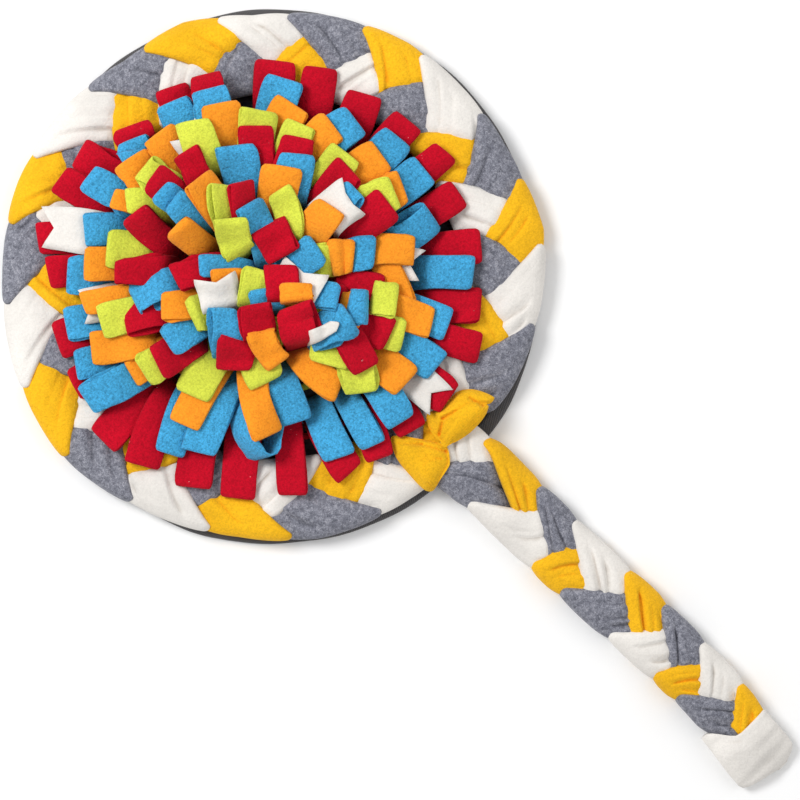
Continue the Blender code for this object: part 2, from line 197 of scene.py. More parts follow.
class Nodes:
    """A material's node tree, built from short calls."""

    def __init__(self, name, base, roughness, sheen=0.0, sheen_tint=(1, 1, 1), specular=0.3):
        self.material = bpy.data.materials.new(name)
        self.material.use_nodes = True
        self.tree = self.material.node_tree
        self.shader = self.tree.nodes["Principled BSDF"]
        self.shader.inputs["Base Color"].default_value = color(base)
        self.shader.inputs["Roughness"].default_value = roughness
        self.shader.inputs["Specular IOR Level"].default_value = specular
        self.shader.inputs["Sheen Weight"].default_value = sheen
        self.shader.inputs["Sheen Roughness"].default_value = 0.45
        self.shader.inputs["Sheen Tint"].default_value = color(sheen_tint)
        self.material.diffuse_color = color(base)
        self.place = self.tree.nodes.new("ShaderNodeTexCoord").outputs["Object"]

    def add(self, kind, **settings):
        node = self.tree.nodes.new(kind)
        for key, value in settings.items():
            setattr(node, key, value)
        return node

    def link(self, out, to):
        self.tree.links.new(out, to)

    def noise(self, scale, detail=2.0, rough=0.5, distortion=0.0, vector=None):
        node = self.add("ShaderNodeTexNoise")
        node.inputs["Scale"].default_value = scale
        node.inputs["Detail"].default_value = detail
        node.inputs["Roughness"].default_value = rough
        node.inputs["Distortion"].default_value = distortion
        self.link(vector or self.place, node.inputs["Vector"])
        return node.outputs["Fac"]

    def cells(self, scale, feature="F1", randomness=1.0, vector=None):
        node = self.add("ShaderNodeTexVoronoi", feature=feature)
        node.inputs["Scale"].default_value = scale
        node.inputs["Randomness"].default_value = randomness
        self.link(vector or self.place, node.inputs["Vector"])
        return node.outputs["Distance"]

    def math(self, operation, a, b=None, c=None, clamp=False):
        node = self.add("ShaderNodeMath", operation=operation, use_clamp=clamp)
        for socket, value in zip(node.inputs, (a, b, c)):
            if value is None:
                continue
            if isinstance(value, (int, float)):
                socket.default_value = value
            else:
                self.link(value, socket)
        return node.outputs[0]

    def ramp(self, factor, stops):
        node = self.add("ShaderNodeValToRGB")
        elements = node.color_ramp.elements
        while len(elements) < len(stops):
            elements.new(0.5)
        for element, (at, value) in zip(elements, stops):
            element.position = at
            element.color = color(value) if hasattr(value, "__len__") else color((value,) * 3)
        self.link(factor, node.inputs["Fac"])
        return node.outputs["Color"]

    def mix(self, factor, a, b, blend="MIX"):
        node = self.add("ShaderNodeMix", data_type="RGBA", blend_type=blend)
        for socket, value in ((node.inputs[0], factor), (node.inputs[6], a), (node.inputs[7], b)):
            if isinstance(value, (int, float)):
                socket.default_value = value
            elif hasattr(value, "__len__"):
                socket.default_value = color(value)
            else:
                self.link(value, socket)
        return node.outputs[2]

    def bump(self, height, distance, strength=1.0, normal=None):
        node = self.add("ShaderNodeBump")
        node.inputs["Strength"].default_value = strength
        node.inputs["Distance"].default_value = distance
        self.link(height, node.inputs["Height"])
        if normal is not None:
            self.link(normal, node.inputs["Normal"])
        return node.outputs["Normal"]

    def painted_crease_shade(self, shade, dark=(0.42, 0.42, 0.42), reach=0.055):
        """Painted shade: darkens the bottom of creases, where the pile of both sides meets, by the mesh's pointiness.
        """
        shape = self.add("ShaderNodeNewGeometry")
        low = self.ramp(shape.outputs["Pointiness"], [(0.5 - reach, dark), (0.5 - reach * 0.12, (1, 1, 1))])
        return self.mix(1.0, shade, low, "MULTIPLY")

    def finish(self, base, normal):
        self.link(base, self.shader.inputs["Base Color"])
        self.link(normal, self.shader.inputs["Normal"])
        return self.material


def times(value, k):
    return tuple(min(1.0, v * k) for v in value)


def fleece(name, base, pile=620.0, contrast=0.30, depth=0.00045, sheen=0.25, curl=0.0, lint=0.0, tint=(1, 1, 1), crease_shade_color=None):
    """Polar fleece: short matted pile. Colour and height go together: painted shade darkens the hollows of the pile,
    and its tops are lighter.
    """
    n = Nodes(name, base, 0.95, sheen=sheen, sheen_tint=tint, specular=0.15)
    fine = n.noise(pile, 3.0, 0.62, 0.6)
    knots = n.cells(pile * 0.62)
    clumps = n.noise(pile * 0.45, 2.0, 0.5, 0.4)
    wide = n.noise(26.0, 2.0, 0.5)
    height = n.math("ADD", n.math("MULTIPLY", fine, 1.35), n.math("MULTIPLY", clumps, 0.45))
    if curl:
        height = n.math("SUBTRACT", height, n.math("MULTIPLY", knots, curl))
    # painted shade: the low points of the pile's bump are darker, its high points lighter
    shade = n.ramp(height, [(0.55 - 0.4 * curl, times(base, 1 - contrast)), (0.88 - 0.4 * curl, base), (1.2 - 0.4 * curl if curl else 1.0, times(base, 1 + contrast * 0.7))])
    shade = n.mix(n.ramp(wide, [(0.35, 0.0), (0.7, 1.0)]), shade, n.mix(1.0, shade, (0.86, 0.86, 0.86), "MULTIPLY"))
    if lint:
        specks = n.ramp(n.cells(210.0), [(0.0, 1.0), (0.055, 0.6), (0.075, 0.0)])
        few = n.ramp(n.noise(60.0, 1.0), [(0.60, 0.0), (0.68, 1.0)])
        mask = n.math("MULTIPLY", n.math("MULTIPLY", specks, few), lint)
        shade = n.mix(mask, shade, (0.85, 0.80, 0.78))
    normal = n.bump(clumps, depth * 2.2, 0.55)
    normal = n.bump(height, depth, 0.9, normal)
    # the crease colour is painted shade, multiplied into the bottoms of creases
    return n.finish(n.painted_crease_shade(shade, crease_shade_color) if crease_shade_color else shade, normal)


def heather(name, base, dark, light):
    """Grey fleece of mixed dark and light fibres."""
    n = Nodes(name, base, 0.95, sheen=0.2, specular=0.15)
    fibres = n.noise(900.0, 3.0, 0.7, 1.2)
    clumps = n.noise(300.0, 2.0, 0.55, 0.6)
    blend = n.math("ADD", n.math("MULTIPLY", fibres, 0.65), n.math("MULTIPLY", clumps, 0.35))
    shade = n.ramp(blend, [(0.34, dark), (0.5, base), (0.66, light)])
    normal = n.bump(clumps, 0.0008, 0.5)
    normal = n.bump(fibres, 0.0004, 0.8, normal)
    # painted shade in the bottoms of the grey's creases
    return n.finish(n.painted_crease_shade(shade, (0.25, 0.25, 0.27)), normal)


def twill(name, base, pitch, round_webbing):
    """Diagonal ribs. On the round webbing they follow its turn."""
    n = Nodes(name, base, 0.8, sheen=0.1, specular=0.3)
    parts = n.add("ShaderNodeSeparateXYZ")
    n.link(n.place, parts.inputs[0])
    x, y = parts.outputs[0], parts.outputs[1]
    if round_webbing:
        around = n.math("MULTIPLY", n.math("ARCTAN2", y, x), WEBBING_R * MM)
        out = n.math("SQRT", n.math("ADD", n.math("MULTIPLY", x, x), n.math("MULTIPLY", y, y)))
    else:
        around, out = x, y
    steep = n.math("ADD", around, n.math("MULTIPLY", out, 1.0))
    cross = n.math("SUBTRACT", n.math("MULTIPLY", around, 0.55), n.math("MULTIPLY", out, 1.25))
    rib = n.math("SINE", n.math("MULTIPLY", steep, 2 * math.pi / pitch))
    thread = n.math("SINE", n.math("MULTIPLY", cross, 2 * math.pi / (pitch * 0.8)))
    grain = n.noise(1500.0, 2.0, 0.6)
    height = n.math("ADD", n.math("MULTIPLY", rib, 0.5), n.math("MULTIPLY", thread, 0.25))
    height = n.math("ADD", height, n.math("MULTIPLY", grain, 0.6))
    shade = n.ramp(n.math("MULTIPLY_ADD", height, 0.4, 0.4), [(0.25, times(base, 0.55)), (0.55, base), (0.9, times(base, 1.9))])
    return n.finish(shade, n.bump(height, 0.00035, 0.9))


RED = fleece("fleece_red", (0.50, 0.002, 0.016), pile=760, contrast=0.26, sheen=0.06, lint=0.8, tint=(1, 0.5, 0.5))
BLUE = fleece("fleece_blue", (0.058, 0.365, 0.66), pile=780, contrast=0.44, depth=0.0006, sheen=0.18, curl=0.24, tint=(0.7, 0.9, 1))
ORANGE = fleece("fleece_orange", (0.96, 0.305, 0.020), pile=760, contrast=0.22, sheen=0.12, tint=(1, 0.8, 0.6))
LIME = fleece("fleece_lime", (0.64, 0.70, 0.070), pile=760, contrast=0.20, sheen=0.12, tint=(1, 1, 0.7))
# the crease colours given to the yellow and white are painted shade for the bottoms of creases
YELLOW = fleece("fleece_yellow", (0.88, 0.47, 0.012), pile=760, contrast=0.15, sheen=0.12, tint=(1, 0.9, 0.6), crease_shade_color=(0.92, 0.60, 0.40))
WHITE = fleece("fleece_white", (0.80, 0.765, 0.72), pile=760, contrast=0.06, depth=0.0003, sheen=0.15, lint=0.0, crease_shade_color=(0.70, 0.66, 0.62))
GREY = heather("fleece_grey", (0.19, 0.195, 0.235), (0.07, 0.072, 0.09), (0.42, 0.42, 0.47))
WEBBING = twill("webbing_twill", (0.088, 0.084, 0.086), 0.0019, True)
BACKING = twill("backing_canvas", (0.045, 0.048, 0.060), 0.0014, False)
CLOTH = {"red": RED, "blue": BLUE, "orange": ORANGE, "lime": LIME, "yellow": YELLOW, "white": WHITE, "grey": GREY}
SLOT = {name: "fleece_" + name for name in CLOTH}


def piece(obj, slot, *nodes):
    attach(obj, "root")
    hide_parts(*nodes)
    return obj


# ------------------------------------------------------------------ base disc and webbing
def binding_radius(theta):
    """The webbing's outer edge: a hand-sewn circle that wavers by a millimetre or two."""
    return (WEBBING_R + 0.9 * np.sin(2 * theta + 0.4) + 0.7 * np.sin(5 * theta + 1.9) + 0.45 * np.sin(9 * theta + 0.7)
            + 0.25 * np.sin(23 * theta))


def make_backing():
    around, rings = 192, 14
    theta = np.linspace(0, 2 * math.pi, around, endpoint=False)
    sag = waves(5, 9, 60, 160)
    sections = []
    radii = np.linspace(4.0, DISC_R - 3.0, rings)
    profile = [(r, 0.0) for r in radii] + [(DISC_R - 2.0, 0.5), (DISC_R - 2.0, DISC_T - 0.4)] + [(r, DISC_T) for r in radii[::-1]]
    for r, z in profile:
        x, y = r * np.cos(theta), r * np.sin(theta)
        lift = 0.35 * sag(x, y) * (z > 1.0)
        sections.append(np.stack([x, y, z + lift], 1))
    shape = Shape()
    shape.tube(np.array(sections))
    obj = shape.make("backing_cloth_disc", [BACKING])
    piece(obj, "backing_cloth", "backing_disc")
    return obj


def make_binding():
    around = 360
    theta = np.linspace(0, 2 * math.pi, around, endpoint=False)
    outer = binding_radius(theta)
    puff = 0.25 * np.sin(41 * theta) + 0.15 * np.sin(67 * theta + 1.0)
    inner = WEBBING_W
    # Round the webbing's section: along its top from the inner edge, round the fold, back along its underside, then its inside.
    rows = [(-inner, 3.1), (-inner + 0.2, 3.9), (-8.6, 4.15), (-6.0, 4.3), (-3.2, 4.25), (-1.2, 3.7), (-0.2, 2.8), (0.0, 1.9),
            (-0.3, 0.9), (-1.2, 0.2), (-3.2, 0.0), (-6.0, 0.0), (-9.0, 0.0), (-inner + 0.1, 0.0), (-inner, 0.3), (-inner + 0.2, 0.9),
            (-6.0, 1.0), (-2.2, 1.05), (-1.3, 1.9), (-2.2, 2.95), (-6.0, 3.1), (-8.6, 3.1)]
    sections = []
    for k in range(around):
        top = 1.0
        sections.append([((outer[k] + o) * math.cos(theta[k]), (outer[k] + o) * math.sin(theta[k]),
                          z + (puff[k] if z > 3.5 and o < -1 else 0.0) * top) for o, z in rows])
    shape = Shape()
    shape.tube(np.array(sections), closed=True)
    obj = shape.make("webbing_round_the_rim", [WEBBING])
    piece(obj, "webbing", "rim_binding")
    return obj


# ------------------------------------------------------------------ plaits
# Where the edge of each lobe meets the plait's border, one after another: on the rim's outer side the turn
# clockwise from the yellow fold in degrees, on the handle the distance along -Y, on its +X side and on its -X side.
RIM_LOBES = [-8.5, 13.5, 28.9, 50.2, 68.1, 86.2, 102.6, 119.3, 137.6, 154.7, 169.5, 188.8, 203.1, 220.9, 236.0, 253.1, 266.5, 285.2, 301.7, 316.3, 334.0, 351.5]
RIM_START = -82.7          # azimuth of the first lobe
HANDLE_RIGHT = {"lobe": [-1, 0, 1, 2, 3, 4, 5, 6, 7, 8, 9], "along": [110, 153, 196.2, 251.4, 285.5, 343.4, 379.3, 419.9, 463.2, 497, 537]}
HANDLE_LEFT = {"lobe": [-1.5, -0.5, 0.5, 1.5, 2.5, 3.5, 4.5, 5.5, 6.5, 7.5, 8.5], "along": [90, 133, 178, 220, 290.6, 316.3, 366.4, 413.9, 434.8, 471.3, 515]}
# Outer edge of the rim's plait by turn anticlockwise from +X -45 degrees
RIM_EDGE = {"at": [-60, -40, -25, -10, 10, 20, 30, 45, 60, 80, 95, 110, 125, 140, 160, 180, 200, 220, 240, 262, 280, 300],
            "out": [194, 192, 195, 198, 203, 199, 197, 198, 200, 198, 195, 201, 196, 201, 204, 203, 206, 208, 200, 196, 198, 194]}
HANDLE_LINE = {"along": [187, 208, 240, 300, 343, 372, 416, 450, 480, 500, 530], "x": [0, 4, 5, 6, 7.5, 9, 10.3, 10.7, 8.8, 6, 2.5],
               "z": [16.6, 16.2, 11.4, 11.2, 11.2, 11.2, 11.2, 11.2, 11.2, 11.2, 11.2]}
HANDLE_DRAW = {"along": [187, 215, 235, 360, 416, 463, 482, 502], "wide": [1.02, 1.04, 1.00, 0.98, 0.93, 0.90, 0.82, 0.74],
               "high": [0.9, 1.0, 1.0, 1.0, 1.0, 0.95, 0.72, 0.60]}
# A strand is a wide folded strip: it lies over the others from the plait's edge, runs slantwise to the middle,
# dives under the next lobe from the other side and comes up at the other edge.
PLAIT = {                  # half width of the strip, half width of the plait, mean length of a lobe, heights of the middle of the upper and lower runs, half thickness
    "rim": {"half": 22.5, "edge": 30.0, "pitch": 51.5, "high": 15.6, "low": 8.2, "thick": 4.0, "fold_at": 29.6, "scallop": (-1.4, 1.5), "tilt": 2.4, "pleat": 1.25},
    "handle": {"half": 18.5, "edge": 26.8, "pitch": 41.9, "high": 15.4, "low": 6.2, "thick": 4.6, "fold_at": 29.4, "scallop": (0.3, 4.2), "tilt": 2.6, "pleat": 1.7},
}
HANDLE_FROM = {"grey": 6.0, "white": -15.0, "yellow": 8.0}
# Deep pleats of the handle's first lobes by strand and lobe: across, depth, width, lean, deeper at the end, steep side
FIRST_PLEATS = {
    (0, 2): [(-0.42, 4.2, 0.15, 0.10, True, 1), (0.12, 3.4, 0.14, 0.06, False, 1), (0.62, 2.0, 0.12, -0.1, True, -1)],
    (1, 1): [(-0.62, 4.6, 0.13, 0.85, True, -1), (0.55, 1.2, 0.15, 0.0, True, 1)],
    (1, 2): [(-0.45, 4.6, 0.15, 1.15, True, 1), (-0.68, 2.6, 0.13, 0.1, False, -1)],
}
TAPERS = {("handle", 0, 2): 0.8}      # how much a lobe narrows towards its end, by kind, strand and lobe
STRANDS = {"yellow": (0, 0), "white": (1, 2), "grey": (2, 1)}
SIDES = 32


STRIP = 41                 # points across a strip


def strip_grid(kind, turn, lobes, seed):
    """Middle surface of a strand as (along, sideways, up) with its half thickness, station by station.
    lobes are the whole numbers of its lobes on the plait's +side; those on the other side lie half way between."""
    size = PLAIT[kind]
    rng = np.random.default_rng(seed)
    half, pitch, thick = size["half"], size["pitch"], size["thick"]
    fold_r = (size["high"] - size["low"]) / 2
    border = size["edge"] - fold_r - thick * 0.8
    m = np.linspace(-1, 1, STRIP)
    m = np.sign(m) * np.abs(m) ** 0.85
    x = m * half
    end = (pitch / 2 + 2 * size["edge"]) / math.sqrt(2) - half
    reach = end + 9.0
    scallop = np.where(m < 0, size["scallop"][0], size["scallop"][1]) * m**2
    points, halves, faces_up = [], [], []
    crown = 1.0 - np.abs(m) ** 3.2
    profile = 0.30 + 0.70 * crown ** 0.5
    step = turn + 0.0 - 6
    side = 1
    first = turn - 3
    count = 0
    while first + 1.5 * count < lobes + 3:
        centre = (first + 1.5 * count) * pitch + size["fold_at"]
        side = 1 if count % 2 == 0 else -1
        # pleats run along the strip: a steep side and a soft one
        pleats = [(at + rng.uniform(-0.16, 0.16), deep * rng.uniform(0.7, 1.3), wide * rng.uniform(0.8, 1.25), rng.uniform(-0.22, 0.22),
                   rng.uniform() < 0.75, 1 if rng.uniform() < 0.5 else -1)
                  for at, deep, wide in zip((-0.52, 0.02, 0.5), rng.permutation([0.9, 2.0, 3.1]) * size["pleat"], (0.13, 0.12, 0.14))]
        lobe = {"lift": rng.uniform(-0.5, 0.7)}
        if kind == "handle" and (turn, count) in FIRST_PLEATS:
            pleats = FIRST_PLEATS[turn, count]
        high = size["high"] + lobe["lift"]
        # round the fold at the plait's edge
        for turn_deg in (-90, -60, -30, 0, 30, 60):
            r = math.radians(turn_deg)
            u = border - scallop + fold_r * math.cos(r)
            z = size["low"] + fold_r + (fold_r + (high - size["high"]) / 2) * math.sin(r) - size["tilt"] * m * max(0.0, math.sin(r))
            along = centre + math.sqrt(2) * x * (1 - 0.12 * math.cos(r)) - 1.1 * fold_r * math.cos(r) * np.maximum(0.0, -m)
            points.append(np.stack([along, side * u, z + np.zeros(STRIP)], 1))
            halves.append(thick * profile * 0.92)
            out = np.array([0.0, side * math.cos(r), math.sin(r)])
            faces_up.append(np.tile(out if count % 2 == 0 else -out, (STRIP, 1)))
        taper = TAPERS.get((kind, turn, count), 0.0)
        # over the others
        for tau in np.linspace(0.0, 1.0, 13):
            length = (1 - tau) * x + tau * reach
            narrow = np.where(m < 0, x * (1 - taper * tau ** 0.8), x)
            u = border - scallop * (1 - tau) ** 2 - (length - narrow) / math.sqrt(2)
            along = centre + (length + narrow) / math.sqrt(2)
            from_border = tau * (reach - x)
            to_end = length - end
            dive = smooth((to_end + 13.5) / 15.0)
            bulge = 2.2 * np.sin(math.pi * np.clip(from_border / 36.0, 0, 1))
            z = high + bulge - dive * (high - size["low"] + 0.6) - size["tilt"] * m * (1 - dive)
            dip = np.zeros(STRIP)
            for at, deep, wide, lean, start, hand in pleats:
                grow = (0.3 + 0.7 * (tau if start else 1 - tau)) * min(1.0, 5 * tau + 0.25)
                away = (m - at - lean * tau) / wide * hand
                dip += deep * grow * np.where(away < 0, np.exp(-(away / 0.45) ** 2), np.exp(-(away / 1.5) ** 2))
            points.append(np.stack([along, side * u, z + 1.2 * crown * (1 - dive)], 1))
            halves.append(np.maximum(thick * profile - dip, 0.9))
            # it dips towards the end, so its upper side leans that way there
            lean = 0.55 * (dive * (1 - dive) * 4)
            out = np.stack([lean * 0.7, lean * -0.7 * side, np.ones(STRIP)], 1)
            faces_up.append(unit(out) * (1 if count % 2 == 0 else -1))
        # under them to the other edge
        last = points[-1]
        goal_along = centre + 1.5 * pitch + math.sqrt(2) * x
        goal = np.stack([goal_along, -side * (border - scallop), np.full(STRIP, size["low"])], 1)
        for tau in (0.25, 0.5, 0.75):
            points.append(last * (1 - tau) + goal * tau)
            halves.append(thick * profile * 0.8)
            faces_up.append(np.tile(np.array([0.0, 0.0, 1.0 if count % 2 == 0 else -1.0]), (STRIP, 1)))
        count += 1
    return np.array(points), np.array(halves), np.array(faces_up)


def strand_skin(world, halves, n):
    """Closed sections round a middle surface (stations, across, 3)."""
    across = np.gradient(world, axis=1)
    upper = world + n * halves[..., None]
    lower = world - n * halves[..., None]
    width = unit(across)
    right = world[:, -1:] + width[:, -1:] * 1.2
    left = world[:, :1] - width[:, :1] * 1.2
    return np.concatenate([upper, right, lower[:, ::-1], left], 1)


def make_strand(kind, name, turn, seed, to_world, keep):
    points, halves, up = strip_grid(kind, turn, 24 if kind == "rim" else 9, seed)
    middle = points[:, STRIP // 2, 0]
    inside = np.nonzero((middle >= keep[0]) & (middle <= keep[1]))[0]
    part = slice(inside[0], inside[-1] + 1)
    sections = to_world(strand_skin(points[part], halves[part], up[part]))
    low = 4.6 if kind == "rim" else 0.3
    sections[:, :, 2] = np.maximum(sections[:, :, 2], low + 0.02 * sections[:, :, 2])
    fine = resample(sections, (len(sections) - 1) * 2 + 1, sections.shape[1])
    GROUND.cover(np.concatenate([fine, fine[:, :1]], 1))
    shape = Shape()
    shape.tube(round_ends(fine))
    obj = shape.make(kind + "_plait_" + name, [CLOTH[name]])
    piece(obj, SLOT[name], kind + "_strand_" + name)
    return obj


def rim_world(points):
    """(along, out, up) of the rim's plait in the frame: along is in lobes of one mean length, clockwise."""
    lobes = np.array(RIM_LOBES)
    count = points[..., 0] / PLAIT["rim"]["pitch"]
    known = np.arange(-1, len(lobes) + 1) * 1.0
    dense = np.linspace(-1, len(lobes), 2201)
    beta = np.interp(dense, known, np.concatenate([[lobes[0] - 17.1], lobes, [lobes[-1] + 23.0]]))
    kernel = np.ones(41) / 41
    beta = np.convolve(np.pad(beta, 20, mode="reflect", reflect_type="odd"), kernel, mode="valid")
    theta = np.radians(RIM_START - np.interp(count, dense, beta))
    alpha = (np.degrees(theta) + 45 + 60) % 360 - 60
    more = np.interp(alpha, RIM_EDGE["at"], RIM_EDGE["out"]) - 200.5
    u = points[..., 1] * np.where(points[..., 1] < 0, 1.14, 1.0) * (1 + 0.4 * more / 28.0) + 0.6 * more
    # the last lobe before the handle lies further in
    u = u - 8.0 * np.exp(-((alpha + 30) / 10.0) ** 2) * smooth((20 - u) / 30.0)
    r = RIM_R + u
    x, y = r * np.cos(theta), r * np.sin(theta)
    return np.stack([x, y, points[..., 2] + 0.4 * RIM_WOBBLE(x, y)], -1)


def handle_world(points):
    count = points[..., 0] / PLAIT["handle"]["pitch"] + 1
    dense = np.linspace(-1, 9, 1001)
    kernel = np.ones(41) / 41
    sides = []
    for known in (HANDLE_LEFT, HANDLE_RIGHT):
        where = np.interp(dense, known["lobe"], known["along"])
        where = np.convolve(np.pad(where, 20, mode="reflect", reflect_type="odd"), kernel, mode="valid")
        sides.append(np.interp(count, dense, where))
    share = smooth(0.5 + 0.5 * points[..., 1] / PLAIT["handle"]["edge"])
    along = sides[0] * (1 - share) + sides[1] * share
    middle_x = np.interp(along, HANDLE_LINE["along"], HANDLE_LINE["x"])
    middle_z = np.interp(along, HANDLE_LINE["along"], HANDLE_LINE["z"]) - 11.2
    wide = np.interp(along, HANDLE_DRAW["along"], HANDLE_DRAW["wide"])
    high = np.interp(along, HANDLE_DRAW["along"], HANDLE_DRAW["high"])
    x = middle_x + wide * points[..., 1]
    z = 11.2 + middle_z + high * (points[..., 2] - 11.2)
    return np.stack([x, -along, z + 0.4 * RIM_WOBBLE(x, along)], -1)


RIM_WOBBLE = waves(61, 7, 30, 80)


def round_ends(sections):
    """Draws the first and last sections in, so a strand ends in a rounded tip."""
    out = [s for s in sections]
    for end, step in ((0, 1), (-1, -1)):
        base = out[end]
        ahead = base.mean(0) - out[end + 2 * step].mean(0)
        ahead = ahead / max(np.linalg.norm(ahead), 1e-6)
        extra = []
        for scale, push in ((0.86, 1.6), (0.55, 2.8), (0.2, 3.3)):
            middle = base.mean(0)
            extra.append(middle + (base - middle) * scale + ahead * push)
        out = (extra[::-1] + out) if end == 0 else (out + extra)
    return np.array(out)


# ------------------------------------------------------------------ cuff at the handle's end
CUFF = {"along": [486, 490, 496, 503, 510, 517, 521, 524, 526.5, 528.7, 530], "x": [5.6, 5.2, 4.4, 3.3, 2.2, 1.6, 1.9, 4.0, 6.6, 9.0, 9.6],
        "half_w": [24.6, 24.6, 25.0, 25.7, 26.2, 26.4, 25.4, 22.4, 17.2, 9.8, 5.0],
        "half_t": [10.6, 10.9, 10.9, 10.1, 8.6, 6.6, 5.6, 4.9, 4.2, 3.2, 2.2], "up": [11.2, 11.2, 11.1, 10.6, 9.3, 7.4, 6.2, 5.4, 4.8, 4.2, 3.8]}


def cuff_early(x, along):
    """How much further up the handle the cuff's mouth lies on its left side."""
    return 17.5 * smooth((3.5 - x) / 19.0) * np.clip((514 - along) / 23.5, 0, 1)


def oval(half_w, half_t, count, power=0.8):
    a = np.linspace(0, 2 * math.pi, count, endpoint=False)
    c, s = np.cos(a), np.sin(a)
    return np.stack([half_w * np.sign(c) * np.abs(c) ** power, half_t * np.sign(s) * np.abs(s) ** power], 1)


def make_cuff():
    places = np.concatenate([np.linspace(490.5, 520, 22), np.linspace(521, 530, 14)])
    rough = waves(71, 7, 14, 40)
    outer, inner = [], []
    for along in places:
        w = np.interp(along, CUFF["along"], CUFF["half_w"])
        t = np.interp(along, CUFF["along"], CUFF["half_t"])
        up = np.interp(along, CUFF["along"], CUFF["up"])
        x = np.interp(along, CUFF["along"], CUFF["x"])
        o = oval(w, t, 48)
        seam = 0.5 * math.exp(-((along - 495.5) / 1.1) ** 2)
        px = x + o[:, 0]
        py = cuff_early(px, along) - along
        rise = np.where(o[:, 1] > 0, 0.5 * rough(px * 1.0, py * 1.6) - seam, 0.0)
        z = up + o[:, 1] + rise
        # the mouth lies close on the strands that go into it
        close = smooth((504.0 - along) / 14.0) * np.where(o[:, 1] > 0, np.minimum(1.0, o[:, 1] / 4.0), 0.0)
        z = z - close * 3.4 * smooth((7.0 - px) / 10.0)
        outer.append(np.stack([px, py, z], 1))
        if along < 514:
            o = oval(w - 2.2, max(1.0, t - 2.2), 48)
            z = np.where(o[:, 1] > 0, np.minimum(up + o[:, 1], z - 1.0), up + o[:, 1])
            inner.append(np.stack([x + o[:, 0], cuff_early(x + o[:, 0], along) - along, z], 1))
    lip = []
    for k in range(1, 4):
        f = k / 4
        both = inner[0] * (1 - f) + outer[0] * f
        both[:, 1] += 1.1 * math.sin(math.pi * f)
        lip.append(both)
    shape = Shape()
    shape.tube(round_tail(np.array(inner[::-1] + lip + outer)))
    obj = shape.make("handle_end_cuff", [WHITE])
    piece(obj, "fleece_white", "handle_cuff")
    return obj


def round_tail(sections):
    base = sections[-1]
    middle = base.mean(0)
    more = [middle + (base - middle) * s + np.array([0, -p, 0]) for s, p in ((0.97, 0.5), (0.8, 0.9), (0.3, 1.0))]
    return np.concatenate([sections, np.array(more)])


# ------------------------------------------------------------------ yellow folds over the joint
def make_fold(name, node, color, outline, puff, creases, seed):
    """A pillowy fold of fleece that lies over what is there: outline is its plan as (x, y) corners, puff its height
    at the middle, creases are lines with a depth and a width."""
    ring = np.array(outline, float)
    n = 140
    # A smooth closed line through the corners
    k = len(ring)
    t = np.linspace(0, k, n, endpoint=False)
    i = t.astype(int)
    f = (t - i)[:, None]
    p0, p1, p2, p3 = ring[(i - 1) % k], ring[i % k], ring[(i + 1) % k], ring[(i + 2) % k]
    line = 0.5 * (2 * p1 + (p2 - p0) * f + (2 * p0 - 5 * p1 + 4 * p2 - p3) * f**2 + (3 * p1 - p0 - 3 * p2 + p3) * f**3)
    middle = line.mean(0)
    floor_up = float(np.median(GROUND.under(line[:, 0], line[:, 1])))
    rough = waves(seed, 7, 16, 40)
    sections, below = [], []

    def rest(points):
        """What the fold lies on, evened out."""
        at = [GROUND.under(points[:, 0] + dx, points[:, 1] + dy) for dx in (-5, 0, 5) for dy in (-5, 0, 5)]
        return np.maximum(np.mean(at, 0), at[4] - 0.6) + 0.4

    def top(points, share):
        z = rest(points) * 0.55 + 0.45 * floor_up + puff * (1 - share ** 2.6) ** 0.62
        z = np.maximum(z, rest(points) + 1.6)
        dip = np.zeros(len(points))
        for (ax, ay), (bx, by), deep, wide in creases:
            a, b = np.array([ax, ay]), np.array([bx, by])
            along = np.clip(((points - a) @ (b - a)) / ((b - a) @ (b - a)), 0, 1)
            away = np.linalg.norm(points - (a + along[:, None] * (b - a)), axis=1)
            dip = np.maximum(dip, deep * np.exp(-(away / wide) ** 2) * (0.45 + 0.55 * along))
        return z - dip + 0.35 * rough(points[:, 0], points[:, 1])

    for share in np.concatenate([np.linspace(0.02, 0.9, 34), [0.93, 0.96, 0.98, 0.992, 1.0]]):
        points = middle + (line - middle) * share
        sections.append(np.column_stack([points, top(points, np.full(n, share))]))
    for share, drop in ((0.99, 1.4), (0.9, 2.2), (0.5, 2.6), (0.05, 2.6)):
        points = middle + (line - middle) * share
        z = np.minimum(rest(points) - drop, top(points, np.full(n, share)) - 2.2)
        below.append(np.column_stack([points, np.maximum(z, 0.6)]))
    GROUND.cover(np.concatenate([np.array(sections), np.array(sections)[:, :1]], 1))
    sections += below
    shape = Shape()
    shape.tube(np.array(sections))
    obj = shape.make(name, [CLOTH[color]])
    piece(obj, SLOT[color], node)
    return obj


# ------------------------------------------------------------------ loops and tabs
def tab_plan(row, reach=None):
    """Middle line of a tab in plan: from where it is sewn down, (base), to its tip, 13 points and their directions."""
    tip = np.array([row["x"], row["y"]])
    ahead = np.array([math.cos(math.radians(row["turn"])), math.sin(math.radians(row["turn"]))])
    middle = np.array([PILE_X, PILE_Y])
    base_r = RINGS[row["ring"]]["base"]
    tip_r = np.linalg.norm(tip - middle)
    least = np.interp(row["ring"], [1, 3, 5, 7, 10], [46.0, 44.0, 38.0, 32.0, 25.0])
    long = row.get("long") or max(least, min(62.0, tip_r - base_r))
    elbow = tip - ahead * long * 0.6
    from_middle = elbow - middle
    away = np.linalg.norm(from_middle)
    radial = from_middle / max(away, 1e-6)
    share = min(1.0, away / 30.0) * min(1.0, max(0.0, 1.6 * float(radial @ ahead)))
    inward = unit(radial * share + ahead * (1 - share))
    base = elbow - inward * long * 0.42
    t = np.linspace(0, 1, 13)[:, None]
    line = (1 - t) ** 2 * base + 2 * t * (1 - t) * elbow + t**2 * tip
    direction = unit(2 * (1 - t) * (elbow - base) + 2 * t * (tip - elbow))
    return line, direction


ACROSS = 7


